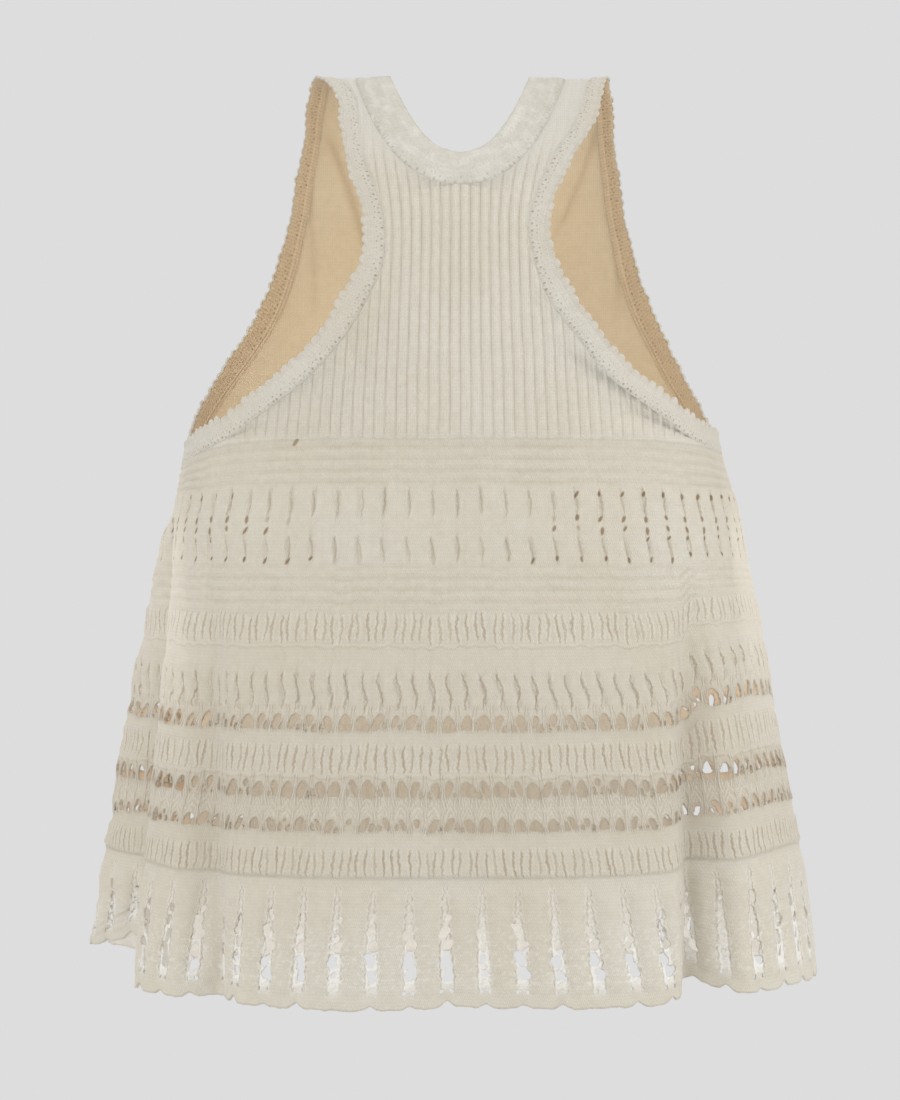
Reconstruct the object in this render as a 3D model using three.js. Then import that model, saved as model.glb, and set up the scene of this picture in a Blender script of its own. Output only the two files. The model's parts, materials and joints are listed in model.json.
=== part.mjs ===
// A sleeveless knitted top in soft cream wool, filled out as it is when worn, in millimetres.
//
// +Z is up, the front faces -Y and +X is on the right as the front is seen. The origin is between
// the shoulders, level with the tops of the straps, where the wearer holds the garment up.
//
// Every piece of cloth is a wall laid on one smooth form. A place on that form has two numbers:
// "around", the angle round the body in degrees (0 at the front, 90 at the right side, 180 at the
// back), and "level", which runs from 0 on the shoulder ridge to 90 at the fullest part of the
// chest and on down to the hem. A negative level is the same place seen over the ridge.
import * as THREE from 'three';

// ---- driving dimensions ---------------------------------------------------------------------
const seamGap = 0.3; // between the two sides of a level seam
const stripGap = 0.4; // between a band or trim and the panels it is knitted to
const wall = { yoke: 2.6, body: 2.4, hem: 2.2, armholeBand: 3.0, neckTrim: 1.8 };
const ridgeLevel = 0.12; // the level at which each yoke stops short of the shoulder seam
const chestDrop = 260; // shoulder ridge to the fullest part of the chest
const hemTop = 475; // shoulder ridge to the top of the hem flounce
const hemBottom = 549;
const squareness = 0.025; // how far a section leaves an ellipse for a rounded rectangle
const chestHollow = { front: 0.3, back: 0.1 }; // how much flatter than an ellipse the shoulders fall

// Half widths of the filled-out form at each height below the shoulders.
const halfWidths = [
  { drop: 0, left: 132, right: 132 },
  { drop: 100, left: 150, right: 144 },
  { drop: 180, left: 161, right: 151 },
  { drop: 224, left: 167, right: 158 },
  { drop: 260, left: 173, right: 168 },
  { drop: 330, left: 179, right: 181 },
  { drop: 400, left: 186, right: 191 },
  { drop: 475, left: 193, right: 204 },
  { drop: 550, left: 199, right: 214 },
];

// How far the form stands in front of and behind the shoulder ridge, from the chest down.
const depths = [
  { drop: 260, front: 121, back: 103 },
  { drop: 330, front: 127, back: 109 },
  { drop: 400, front: 135, back: 117 },
  { drop: 475, front: 146, back: 128 },
  { drop: 550, front: 156, back: 140 },
];

// The armhole's free edge: how far it is from the middle at each height, on all four quarters.
const armholeEdge = [
  { drop: 0, frontLeft: 88, frontRight: 90, backLeft: 88, backRight: 90 },
  { drop: 15, frontLeft: 74, frontRight: 85, backLeft: 94, backRight: 94 },
  { drop: 35, frontLeft: 71, frontRight: 78, backLeft: 97, backRight: 96 },
  { drop: 55, frontLeft: 68, frontRight: 66, backLeft: 101, backRight: 99 },
  { drop: 75, frontLeft: 61, frontRight: 57, backLeft: 105, backRight: 102 },
  { drop: 95, frontLeft: 57, frontRight: 52, backLeft: 110, backRight: 107 },
  { drop: 115, frontLeft: 58, frontRight: 56, backLeft: 116, backRight: 112 },
  { drop: 135, frontLeft: 67, frontRight: 64, backLeft: 124, backRight: 119 },
  { drop: 155, frontLeft: 79, frontRight: 79, backLeft: 135, backRight: 128 },
  { drop: 178, frontLeft: 99, frontRight: 97, backLeft: 149, backRight: 138 },
  { drop: 198, frontLeft: 125, frontRight: 124, backLeft: 159, backRight: 148 },
  { drop: 211, frontLeft: 145, frontRight: 143, backLeft: 164, backRight: 153 },
];
const armholeBottom = { left: 224, right: 217 };
const bandWidth = { strap: 10, underarm: 14 };

// The neckline's free edge is a rounded V on each side of the ridge.
const neck = { halfWidth: 42.5, frontDrop: 51, backDrop: 88, fullness: 2.2, trimWidth: 22 };

// The line where the patterned body starts is level in the middle and dips at the sides.
const bodyTop = { middle: 222, leftDip: 13, rightDip: 8, sharpness: 6 };

// Folds that open towards the hem. "top" and "hem" are the angles at chest and hem, "spread" is
// each fold's half width in degrees and "from" is where it starts. "out" is how far it stands out
// at the hem, "growth" how early it opens (below 1 is early), and "lift" and "hemLift" how far it
// draws the cloth up at the top and at the edge of the flounce.
const fold = (top, hem, spread, from, out, growth, lift, hemLift) => {
  return { top, hem, spread, from, out, growth, lift, hemLift };
};
const folds = {
  // name                       top  hem spread from  out growth lift hemLift
  'front right valley':   fold(46, 39.5, 4.5, 300, -30, 0.8, 3, 10),
  'right lobe':           fold(72, 68, 26, 290, 5, 0.7, 13, 7),
  'right side':           fold(92, 96, 12, 330, -3, 1, 3, 13),
  'back right lobe':      fold(118, 120, 9, 280, 9, 0.8, 3, 4),
  'back right valley':    fold(138, 140, 6, 310, -19, 0.8, 0, 4),
  'back middle lobe':     fold(164, 163, 10, 320, 9, 1, 0, 2),
  'back middle valley':   fold(186, 188, 6, 330, -14, 1, 0, 3),
  'back left valley':     fold(224, 226, 7, 290, -17, 0.8, 0, 4),
  'back left lobe':       fold(256, 252, 12, 252, 41, 0.55, 4, 12),
  'left side tuck':       fold(274, 276, 5.5, 252, -34, 0.7, 2, 4),
  'front left lobe':      fold(290, 293, 7, 262, 5, 0.5, 3, 2),
  'front left valley':    fold(304, 314, 5.5, 270, -17, 0.7, 0, 2),
  'front middle flute':   fold(338, 340, 9, 340, 5, 1.2, 0, 0),
  'front middle hollow':  fold(2, 3, 9, 360, -5, 1.2, 0, 1),
};

const firstFold = Math.min(...Object.values(folds).map((row) => row.from));
const foldStart = 30; // the height over which each fold eases in

// How finely each piece is faceted.
const facets = {
  panelColumns: 44,
  bodyRows: 8,
  hemRows: 3,
  yokeHalfColumns: 9,
  bandSteps: 22, // from the side seam up to the shoulder, front or back
  hornRows: 10, // of those, the steps beside the neckline
  cornerStep: { front: 5, back: 1 }, // the step at which each yoke's lower corner lies
};

// ---- small helpers --------------------------------------------------------------------------
const radians = (degrees) => (degrees * Math.PI) / 180;
const degrees = (angle) => (angle * 180) / Math.PI;
const mix = (a, b, t) => a + (b - a) * t;
const smoothstep = (t) => {
  const s = THREE.MathUtils.clamp(t, 0, 1);
  return s * s * (3 - 2 * s);
};

// A smooth curve through one column of a table whose rows are in order of drop.
function column(rows, key) {
  const slope = (i) => {
    const before = rows[Math.max(i - 1, 0)];
    const after = rows[Math.min(i + 1, rows.length - 1)];
    return (after[key] - before[key]) / (after.drop - before.drop);
  };
  return (drop) => {
    const last = rows.length - 1;
    const wanted = THREE.MathUtils.clamp(drop, rows[0].drop, rows[last].drop);
    let i = 0;
    while (i < last - 1 && rows[i + 1].drop < wanted) i += 1;
    const span = rows[i + 1].drop - rows[i].drop;
    const t = (wanted - rows[i].drop) / span;
    const start = (2 * t ** 3 - 3 * t ** 2 + 1) * rows[i][key];
    const end = (3 * t ** 2 - 2 * t ** 3) * rows[i + 1][key];
    const leave = (t ** 3 - 2 * t ** 2 + t) * span * slope(i);
    const arrive = (t ** 3 - t ** 2) * span * slope(i + 1);
    return start + end + leave + arrive;
  };
}

const widthAt = { left: column(halfWidths, 'left'), right: column(halfWidths, 'right') };
const depthAt = { front: column(depths, 'front'), back: column(depths, 'back') };

// ---- the form the cloth is worn on ----------------------------------------------------------
function dropAt(level) {
  const p = Math.abs(level);
  return p < 90 ? chestDrop * (1 - Math.cos(radians(p))) : chestDrop * (1 + radians(p - 90));
}

function levelAt(drop) {
  return drop < chestDrop ? degrees(Math.acos(1 - drop / chestDrop)) : 90 + degrees(drop / chestDrop - 1);
}

function depthOf(side, level) {
  const cap = radians(Math.min(level, 90));
  const fall = Math.sin(cap) * (1 - chestHollow[side] * Math.cos(cap));
  return depthAt[side](Math.max(dropAt(level), chestDrop)) * fall;
}

// The level section at one height, before any folds.
function plainSection(around, level) {
  const a = radians(around);
  const sideways = (Math.sin(a) + squareness * Math.sin(3 * a)) / (1 - squareness);
  const outward = (Math.cos(a) - squareness * Math.cos(3 * a)) / (1 - squareness);
  const width = widthAt[sideways < 0 ? 'left' : 'right'](dropAt(level));
  const depth = depthOf(outward > 0 ? 'front' : 'back', level);
  return new THREE.Vector2(sideways * width, -outward * depth);
}

function turnBetween(a, b) {
  return THREE.MathUtils.euclideanModulo(a - b + 180, 360) - 180;
}

// What the folds do at one place: how far out they push it and how far up they draw it.
function foldAt(around, drop) {
  const total = { out: 0, lift: 0 };
  for (const row of Object.values(folds)) {
    const reach = THREE.MathUtils.clamp((drop - row.from) / (hemBottom - row.from), 0, 1);
    const middle = mix(row.top, row.hem, reach);
    const away = turnBetween(around, middle) / row.spread;
    const share = Math.exp(-away * away) * smoothstep((drop - row.from) / foldStart);
    const lifted = mix(row.lift, row.hemLift, smoothstep((drop - hemTop) / (hemBottom - hemTop)));
    total.out += row.out * share * reach ** row.growth;
    const raised = THREE.MathUtils.clamp((drop - row.from) / (hemTop - row.from), 0, 1);
    total.lift += lifted * share * raised ** row.growth;
  }
  return total;
}

function formPoint(around, level) {
  if (level < 0) return formPoint(180 - around, -level);
  const drop = dropAt(level);
  const here = plainSection(around, level);
  if (drop <= firstFold) return new THREE.Vector3(here.x, here.y, -drop);
  const { out, lift } = foldAt(around, drop);
  const along = plainSection(around + 0.5, level).sub(plainSection(around - 0.5, level)).normalize();
  return new THREE.Vector3(here.x + along.y * out, here.y - along.x * out, lift - drop);
}

// The two directions in which a place can move on the form, in mm for each degree.
function directions([around, level]) {
  const step = 0.2;
  const across = formPoint(around + step, level).sub(formPoint(around - step, level));
  const down = formPoint(around, level + step).sub(formPoint(around, level - step));
  return { across: across.divideScalar(2 * step), down: down.divideScalar(2 * step) };
}

function outwardNormal(place) {
  const { across, down } = directions(place);
  return down.cross(across).normalize();
}

// Walks a distance over the form from a place, starting in a given direction.
function walk(place, direction, distance) {
  const strides = 6;
  let [around, level] = place;
  for (let i = 0; i < strides; i += 1) {
    const { across, down } = directions([around, level]);
    const aa = across.dot(across);
    const ad = across.dot(down);
    const dd = down.dot(down);
    const wantAcross = across.dot(direction);
    const wantDown = down.dot(direction);
    const scale = distance / strides / (aa * dd - ad * ad);
    const turn = (wantAcross * dd - wantDown * ad) * scale;
    const sink = (wantDown * aa - wantAcross * ad) * scale;
    around += turn;
    level += sink;
  }
  return [around, level];
}

// The angle round the body at which a level section is a given distance from the middle.
function angleAt(distance, drop, side) {
  const wanted = (Math.min(distance / widthAt[side](drop), 1)) * (1 - squareness);
  let s = Math.min(distance / widthAt[side](drop), 1);
  for (let i = 0; i < 6; i += 1) {
    const value = s * (1 + 3 * squareness) - 4 * squareness * s ** 3;
    s += (wanted - value) / (1 + 3 * squareness - 12 * squareness * s * s);
  }
  return degrees(Math.asin(THREE.MathUtils.clamp(s, -1, 1)));
}

function bodyTopDrop(around) {
  const dip = Math.sin(radians(around)) < 0 ? bodyTop.leftDip : bodyTop.rightDip;
  return bodyTop.middle + dip * Math.abs(Math.sin(radians(around))) ** bodyTop.sharpness;
}

// ---- edges of the openings ------------------------------------------------------------------
// Places spaced evenly along a curve given as a function of t from 0 to 1.
function spaced(curve, count) {
  const dense = 600;
  const places = [];
  const lengths = [0];
  for (let i = 0; i <= dense; i += 1) {
    places.push(curve(i / dense));
    if (i === 0) continue;
    const gap = formPoint(...places[i]).distanceTo(formPoint(...places[i - 1]));
    lengths.push(lengths[i - 1] + gap);
  }
  const result = [];
  let j = 0;
  for (let i = 0; i <= count; i += 1) {
    const wanted = (lengths[dense] * i) / count;
    while (j < dense - 1 && lengths[j + 1] < wanted) j += 1;
    const t = (wanted - lengths[j]) / (lengths[j + 1] - lengths[j]);
    result.push([mix(places[j][0], places[j + 1][0], t), mix(places[j][1], places[j + 1][1], t)]);
  }
  return result;
}

// A smooth curve through knots [angle, level], with a knot beyond each end to set its direction.
function throughKnots(knots) {
  return (t) => {
    const at = t * (knots.length - 3);
    const i = Math.min(Math.floor(at), knots.length - 4);
    const s = at - i;
    const bend = (k) => {
      const [a, b, c, d] = [knots[i][k], knots[i + 1][k], knots[i + 2][k], knots[i + 3][k]];
      const curve = 2 * a - 5 * b + 4 * c - d;
      return 0.5 * (2 * b + (c - a) * s + curve * s * s + (3 * b - a - 3 * c + d) * s ** 3);
    };
    return [bend(0), bend(1)];
  };
}

// The armhole's free edge, from under the arm up the front, over the ridge and down the back.
function armholeCurve(side) {
  const sign = side === 'left' ? -1 : 1;
  const name = side === 'left' ? 'Left' : 'Right';
  const knot = (row, quarter, face) => {
    const angle = angleAt(row[`${quarter}${name}`], row.drop, side);
    return [sign * angle, face * levelAt(row.drop)];
  };
  const bottom = levelAt(armholeBottom[side]);
  const front = armholeEdge.slice(1).map((row) => knot(row, 'front', 1)).reverse();
  const ridge = knot(armholeEdge[0], 'front', 1);
  const back = armholeEdge.slice(1).map((row) => knot(row, 'back', -1));
  const mirrored = ([angle, level]) => [sign * 180 - angle, level];
  const ends = { first: [sign * 90, bottom], last: [sign * 90, -bottom] };
  const middle = [...front, ridge, ...back];
  const beyond = { first: mirrored(front[0]), last: mirrored(back[back.length - 1]) };
  return throughKnots([beyond.first, ends.first, ...middle, ends.last, beyond.last]);
}

// The neckline's free edge: the front from left to right, then the back from right to left.
function neckCurve(t) {
  const turn = 2 * Math.PI * t;
  const across = -neck.halfWidth * Math.cos(turn);
  const deepest = t < 0.5 ? neck.frontDrop : neck.backDrop;
  const drop = deepest * (1 - Math.abs(Math.cos(turn)) ** neck.fullness);
  const angle = angleAt(Math.abs(across), drop, across < 0 ? 'left' : 'right');
  return [Math.sign(across) * angle, (t < 0.5 ? 1 : -1) * levelAt(drop)];
}

// The direction that leaves an edge across the cloth, on the side given by sign.
function acrossEdge(before, place, after, sign) {
  const along = formPoint(...after).sub(formPoint(...before)).normalize();
  return outwardNormal(place).cross(along).normalize().multiplyScalar(sign);
}

function bandWidthAt(level) {
  return mix(bandWidth.strap, bandWidth.underarm, smoothstep((dropAt(level) - 40) / 120));
}

// Places of an armhole band: its free edge and the seam where it meets the panels. Both run from
// the side seam up the front to the ridge, and down the back to the side seam again.
function armholeBand(side) {
  const steps = facets.bandSteps;
  const curve = armholeCurve(side);
  const up = spaced((t) => curve(t / 2), steps);
  const down = spaced((t) => curve((1 + t) / 2), steps);
  const edge = [...up, ...down.slice(1)];
  const sign = side === 'left' ? -1 : 1;
  const otherFace = ([angle, level]) => [sign * 180 - angle, level];
  const seam = edge.map((place, i) => {
    const before = i === 0 ? otherFace(edge[1]) : edge[i - 1];
    const after = i === 2 * steps ? otherFace(edge[i - 1]) : edge[i + 1];
    const [angle, level] = walk(place, acrossEdge(before, place, after, sign), bandWidthAt(place[1]));
    if (i === steps) return [angle, 0];
    const onBody = i <= facets.cornerStep.front || i >= 2 * steps - facets.cornerStep.back;
    const limit = bodyTopDrop(level < 0 ? 180 - angle : angle);
    return [angle, Math.sign(level) * (onBody ? levelAt(limit) : Math.abs(level))];
  });
  return { edge, seam };
}

function neckTrim() {
  const steps = 2 * facets.hornRows;
  const front = spaced((t) => neckCurve(t / 2), steps);
  const back = spaced((t) => neckCurve((1 + t) / 2), steps);
  const edge = [...front, ...back.slice(1, steps)];
  const seam = edge.map((place, i) => {
    const before = edge[(i + edge.length - 1) % edge.length];
    const after = edge[(i + 1) % edge.length];
    const [angle, level] = walk(place, acrossEdge(before, place, after, -1), neck.trimWidth);
    return [angle, i % steps === 0 ? 0 : level];
  });
  return { edge, seam };
}

const bands = { left: armholeBand('left'), right: armholeBand('right') };
const trim = neckTrim();

// ---- turning places into walls of cloth -----------------------------------------------------
// A sheet collects places and the four-sided cells between them.
class Sheet {
  constructor(reversed = false) {
    this.places = [];
    this.cells = [];
    this.reversed = reversed;
  }

  addPlace(place) {
    this.places.push(place);
    return this.places.length - 1;
  }

  // Cells between two neighbouring rows of place numbers, the upper row first.
  addRow(above, below) {
    const [upper, lower] = this.reversed ? [below, above] : [above, below];
    for (let i = 0; i < upper.length - 1; i += 1) {
      this.cells.push([upper[i], lower[i], lower[i + 1], upper[i + 1]]);
    }
  }
}

function splitCells(cells) {
  return cells.flatMap(([a, b, c, d]) => [[a, b, c], [a, c, d]]);
}

// Gives a sheet its thickness inwards and closes its edges.
function thicken(sheet, thickness) {
  const outer = sheet.places.map((place) => formPoint(...place));
  const inner = sheet.places.map((place, i) => {
    return outer[i].clone().addScaledVector(outwardNormal(place), -thickness);
  });
  const count = outer.length;
  const faces = splitCells(sheet.cells);
  const used = new Set(faces.flatMap(([a, b, c]) => [`${a} ${b}`, `${b} ${c}`, `${c} ${a}`]));
  const triangles = [...faces];
  for (const [a, b, c] of faces) {
    triangles.push([count + a, count + c, count + b]);
    for (const [from, to] of [[a, b], [b, c], [c, a]]) {
      if (used.has(`${to} ${from}`)) continue;
      triangles.push([to, from, count + from], [to, count + from, count + to]);
    }
  }
  const geometry = new THREE.BufferGeometry();
  geometry.setFromPoints([...outer, ...inner]);
  geometry.setIndex(triangles.flat());
  geometry.computeVertexNormals();
  return geometry;
}

// ---- the pieces -----------------------------------------------------------------------------
// A body or hem panel between two side seams, from one height to another.
function panelSheet(startAngle, topDrop, bottomDrop, rows) {
  const sheet = new Sheet();
  const seamTurn = 0.06;
  // The columns lie closer together where the folds bend the hem.
  const alongHem = (t) => {
    return [mix(startAngle + seamTurn, startAngle + 180 - seamTurn, t), levelAt(hemBottom)];
  };
  const columns = spaced(alongHem, facets.panelColumns).map(([around]) => around);
  let upper = null;
  for (let r = 0; r <= rows; r += 1) {
    const row = columns.map((around) => {
      const drop = mix(topDrop(around), bottomDrop, r / rows);
      return sheet.addPlace([around, levelAt(drop)]);
    });
    if (upper) sheet.addRow(upper, row);
    upper = row;
  }
  return sheet;
}

// The places of one yoke's edges, as if seen from its own face, with the level always positive.
// The sides run from the shoulder down to the lower corners, and the neckline from left to right.
function yokeEdges(face, bottomDrop) {
  const steps = facets.bandSteps;
  const ownLevel = ([angle, level]) => [angle, Math.max(face * level, ridgeLevel)];
  const sides = ['left', 'right'].map((side) => {
    const { seam } = bands[side];
      const corner = facets.cornerStep[face > 0 ? 'front' : 'back'];
    const front = seam.slice(corner, steps + 1).reverse();
    const own = face > 0 ? front : seam.slice(steps, 2 * steps + 1 - corner);
    const places = own.map(ownLevel);
    const [angle] = places[places.length - 1];
    return [...places.slice(0, -1), [angle, levelAt(bottomDrop(angle))]];
  });
  const half = trim.seam.length / 2;
  const loop = [...trim.seam, trim.seam[0]];
  const neckline = face > 0 ? loop.slice(0, half + 1) : loop.slice(half).reverse();
  return { sides, neckline: neckline.map(ownLevel) };
}

// A ribbed yoke with two horns that run up to the shoulders on each side of the neckline.
function yokeSheet(face) {
  const half = facets.yokeHalfColumns;
  const horn = facets.hornRows;
  const sheet = new Sheet(face < 0);
  const turned = ([angle, level]) => (face > 0 ? [angle, level] : [180 - angle, level]);
  const between = (a, b, t) => [mix(a[0], b[0], t), mix(a[1], b[1], t)];
  const bottomDrop = (angle) => bodyTopDrop(turned([angle, 0])[0]) - seamGap;
  const { sides, neckline } = yokeEdges(face, bottomDrop);

  // The horns: each row runs from the armhole to the neckline, and the last rows join.
  let above = [null, null];
  for (let j = 0; j <= horn; j += 1) {
    const left = [];
    const right = [];
    for (let i = 0; i <= half; i += 1) {
      const share = i / half;
      left.push(sheet.addPlace(turned(between(sides[0][j], neckline[j], share))));
      if (j === horn && i === half) {
        right.push(left[half]);
      } else {
        right.push(sheet.addPlace(turned(between(sides[1][j], neckline[2 * horn - j], share))));
      }
    }
    const rows = [left, right.reverse()];
    if (j > 0) rows.forEach((row, k) => sheet.addRow(above[k], row));
    above = rows;
  }

  // The chest: each row runs from armhole to armhole, and the last lies along the body's top.
  let upper = [...above[0], ...above[1].slice(1)];
  const centreTop = neckline[horn];
  const rowCount = sides[0].length - 1 - horn;
  for (let r = 1; r <= rowCount; r += 1) {
    const share = r / rowCount;
    const centre = between(centreTop, [0, levelAt(bottomDrop(0))], share);
    const row = [];
    for (let i = -half; i <= half; i += 1) {
      const side = sides[i < 0 ? 0 : 1][horn + r];
      const away = Math.abs(i) / half;
      const [angle, level] = between(centre, side, away);
      const straight = mix(levelAt(bottomDrop(0)), levelAt(bottomDrop(side[0])), away);
      const settle = share ** 3 * (levelAt(bottomDrop(angle)) - straight);
      row.push(sheet.addPlace(turned([angle, level + settle])));
    }
    sheet.addRow(upper, row);
    upper = row;
  }
  return sheet;
}

// A closed strip of cloth between a free edge and a seam that run round an opening.
function stripGeometry(edge, seam, thickness) {
  const count = edge.length;
  const rings = [];
  for (let i = 0; i < count; i += 1) {
    const clear = stripGap / formPoint(...edge[i]).distanceTo(formPoint(...seam[i]));
    const inside = [mix(seam[i][0], edge[i][0], clear), mix(seam[i][1], edge[i][1], clear)];
    const ring = [edge[i], inside].map((place) => {
      const outer = formPoint(...place);
      return { outer, inner: outer.clone().addScaledVector(outwardNormal(place), -thickness) };
    });
    rings.push([ring[0].outer, ring[1].outer, ring[1].inner, ring[0].inner]);
  }
  const triangles = [];
  for (let i = 0; i < count; i += 1) {
    const next = (i + 1) % count;
    for (let k = 0; k < 4; k += 1) {
      const [a, b] = [i * 4 + k, i * 4 + ((k + 1) % 4)];
      const [c, d] = [next * 4 + ((k + 1) % 4), next * 4 + k];
      triangles.push([a, b, c], [a, c, d]);
    }
  }
  const geometry = new THREE.BufferGeometry();
  geometry.setFromPoints(rings.flat());
  geometry.setIndex(triangles.flat());
  if (signedVolume(geometry) < 0) {
    geometry.setIndex(triangles.flatMap(([a, b, c]) => [a, c, b]));
  }
  geometry.computeVertexNormals();
  return geometry;
}

function signedVolume(geometry) {
  const at = geometry.getAttribute('position');
  const corners = [0, 1, 2].map(() => new THREE.Vector3());
  let volume = 0;
  for (let i = 0; i < geometry.index.count; i += 3) {
    corners.forEach((corner, k) => corner.fromBufferAttribute(at, geometry.index.getX(i + k)));
    volume += corners[0].dot(corners[1].clone().cross(corners[2])) / 6;
  }
  return volume;
}

// ---- materials and assembly -----------------------------------------------------------------
function wool(colour) {
  return new THREE.MeshStandardMaterial({ color: colour, roughness: 0.95, metalness: 0 });
}

const top = new THREE.Group();

function add(name, geometry, colour) {
  const mesh = new THREE.Mesh(geometry, wool(colour));
  mesh.name = name;
  top.add(mesh);
}

const hemStart = () => hemTop + seamGap;
const cream = { yoke: 0xd0c8b6, body: 0xd2cbb9, hem: 0xd6d0c0, band: 0xcbc3b1, trim: 0xdedacd };

add('front_yoke', thicken(yokeSheet(1), wall.yoke), cream.yoke);
add('back_yoke', thicken(yokeSheet(-1), wall.yoke), cream.yoke);
add('front_body', thicken(panelSheet(-90, bodyTopDrop, hemTop, facets.bodyRows), wall.body), cream.body);
add('back_body', thicken(panelSheet(90, bodyTopDrop, hemTop, facets.bodyRows), wall.body), cream.body);
add('front_hem', thicken(panelSheet(-90, hemStart, hemBottom, facets.hemRows), wall.hem), cream.hem);
add('back_hem', thicken(panelSheet(90, hemStart, hemBottom, facets.hemRows), wall.hem), cream.hem);
for (const side of ['left', 'right']) {
  const edge = bands[side].edge.slice(0, -1);
  const seam = bands[side].seam.slice(0, -1);
  add(`armhole_band_${side}`, stripGeometry(edge, seam, wall.armholeBand), cream.band);
}
add('neck_trim', stripGeometry(trim.edge, trim.seam, wall.neckTrim), cream.trim);

export default top;
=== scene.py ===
# %% [markdown]
# # A sleeveless knitted top in cream wool
#
# This lesson dresses a plain model of a knitted top in real looking cloth. The plain model has
# nine walls of cloth: two ribbed yokes, two body panels, two hem flounces, two armhole bands
# and a neck trim. Each one is knitted again here as a thin sheet with its own ridges, slits and
# lace holes, and then coloured with a material made of nodes.
#
# Lengths are worked out in millimetres, as on a knitting chart, and turned into metres when a
# mesh is made.

# %% Load the plain model
import json
import math

import bmesh
import bpy
import numpy as np
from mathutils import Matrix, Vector

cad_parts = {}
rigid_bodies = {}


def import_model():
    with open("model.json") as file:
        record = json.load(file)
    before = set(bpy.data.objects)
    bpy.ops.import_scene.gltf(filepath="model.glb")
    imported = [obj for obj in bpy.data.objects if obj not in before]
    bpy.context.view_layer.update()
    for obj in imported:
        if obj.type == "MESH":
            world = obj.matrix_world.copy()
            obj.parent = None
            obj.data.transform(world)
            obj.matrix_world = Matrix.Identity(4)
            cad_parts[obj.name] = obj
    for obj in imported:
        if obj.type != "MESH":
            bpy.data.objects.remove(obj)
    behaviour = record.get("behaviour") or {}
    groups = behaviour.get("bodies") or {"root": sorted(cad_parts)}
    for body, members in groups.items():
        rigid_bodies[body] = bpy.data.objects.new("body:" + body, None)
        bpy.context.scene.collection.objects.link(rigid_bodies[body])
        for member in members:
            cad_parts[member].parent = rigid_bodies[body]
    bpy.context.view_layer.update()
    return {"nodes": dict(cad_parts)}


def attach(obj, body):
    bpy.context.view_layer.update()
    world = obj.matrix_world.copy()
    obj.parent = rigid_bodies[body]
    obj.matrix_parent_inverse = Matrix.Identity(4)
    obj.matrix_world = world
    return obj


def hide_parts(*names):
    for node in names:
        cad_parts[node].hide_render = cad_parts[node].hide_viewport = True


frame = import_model()
MM = 0.001
print("plain model:", sorted(frame["nodes"]))

# %% [markdown]
# ## The form that the cloth lies on
#
# A worn top has no flat places, so every point of it is found on one smooth form. Two numbers
# name a place. *Around* is the angle round the body: 0 at the front, 90 at the right, 180 at
# the back. *Level* is 0 on the shoulder ridge, 90 at the chest and grows down to the hem. A
# negative level is the same place reached over the ridge.
#
# The widths and depths are read from short tables, as a tailor notes a body's measures, and a
# smooth curve is drawn through each column.

# %% Measures of the form
CHEST_DROP = 260.0      # shoulder ridge to the fullest part of the chest
HEM_TOP = 475.0         # shoulder ridge to the top of the flounce
HEM_BOTTOM = 549.0
SQUARENESS = 0.025
CHEST_HOLLOW = {"front": 0.3, "back": 0.1}
HALF_WIDTHS = {
    "drop":  (0, 100, 180, 224, 260, 330, 400, 475, 550),
    "left":  (132, 150, 161, 167, 173, 179, 186, 193, 199),
    "right": (132, 144, 151, 158, 168, 181, 191, 204, 214),
}
DEPTHS = {
    "drop":  (260, 330, 400, 475, 550),
    "front": (121, 127, 135, 146, 156),
    "back":  (103, 109, 117, 128, 140),
}
BODY_TOP = {"middle": 222, "left": 13, "right": 8, "sharpness": 6}


def through(table, name):
    """A smooth curve through one column of a table, read at any drop."""
    x = np.array(table["drop"], float)
    y = np.array(table[name], float)
    slope = np.empty_like(y)
    slope[1:-1] = (y[2:] - y[:-2]) / (x[2:] - x[:-2])
    slope[0] = (y[1] - y[0]) / (x[1] - x[0])
    slope[-1] = (y[-1] - y[-2]) / (x[-1] - x[-2])

    def value(drop):
        wanted = np.clip(drop, x[0], x[-1])
        i = np.clip(np.searchsorted(x, wanted) - 1, 0, len(x) - 2)
        span = x[i + 1] - x[i]
        t = (wanted - x[i]) / span
        start = (2 * t**3 - 3 * t**2 + 1) * y[i] + (t**3 - 2 * t**2 + t) * span * slope[i]
        end = (3 * t**2 - 2 * t**3) * y[i + 1] + (t**3 - t**2) * span * slope[i + 1]
        return start + end

    return value


width_at = {side: through(HALF_WIDTHS, side) for side in ("left", "right")}
depth_at = {side: through(DEPTHS, side) for side in ("front", "back")}


def smoothstep(t):
    s = np.clip(t, 0, 1)
    return s * s * (3 - 2 * s)


def mix(a, b, t):
    return a + (b - a) * t


def drop_at(level):
    p = np.abs(level)
    upper = CHEST_DROP * (1 - np.cos(np.radians(np.minimum(p, 90))))
    return upper + CHEST_DROP * np.radians(np.maximum(p - 90, 0))


def level_at(drop):
    upper = np.degrees(np.arccos(1 - np.minimum(drop, CHEST_DROP) / CHEST_DROP))
    return upper + np.degrees(np.maximum(drop / CHEST_DROP - 1, 0))


def body_top_drop(around):
    """The drop at which the patterned body starts: level in the middle, lower at the sides."""
    s = np.sin(np.radians(around))
    dip = np.where(s < 0, BODY_TOP["left"], BODY_TOP["right"])
    return BODY_TOP["middle"] + dip * np.abs(s) ** BODY_TOP["sharpness"]


# %% [markdown]
# ## Folds
#
# The top hangs from the chest in folds that open towards the hem. Each row is one fold: the
# angle it has at the top and at the hem, its half width in degrees, the drop where it starts,
# how far it stands out at the hem (less than 0 is a valley), how early it opens, and how far it
# draws the cloth up at the top and at the edge of the flounce.

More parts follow.
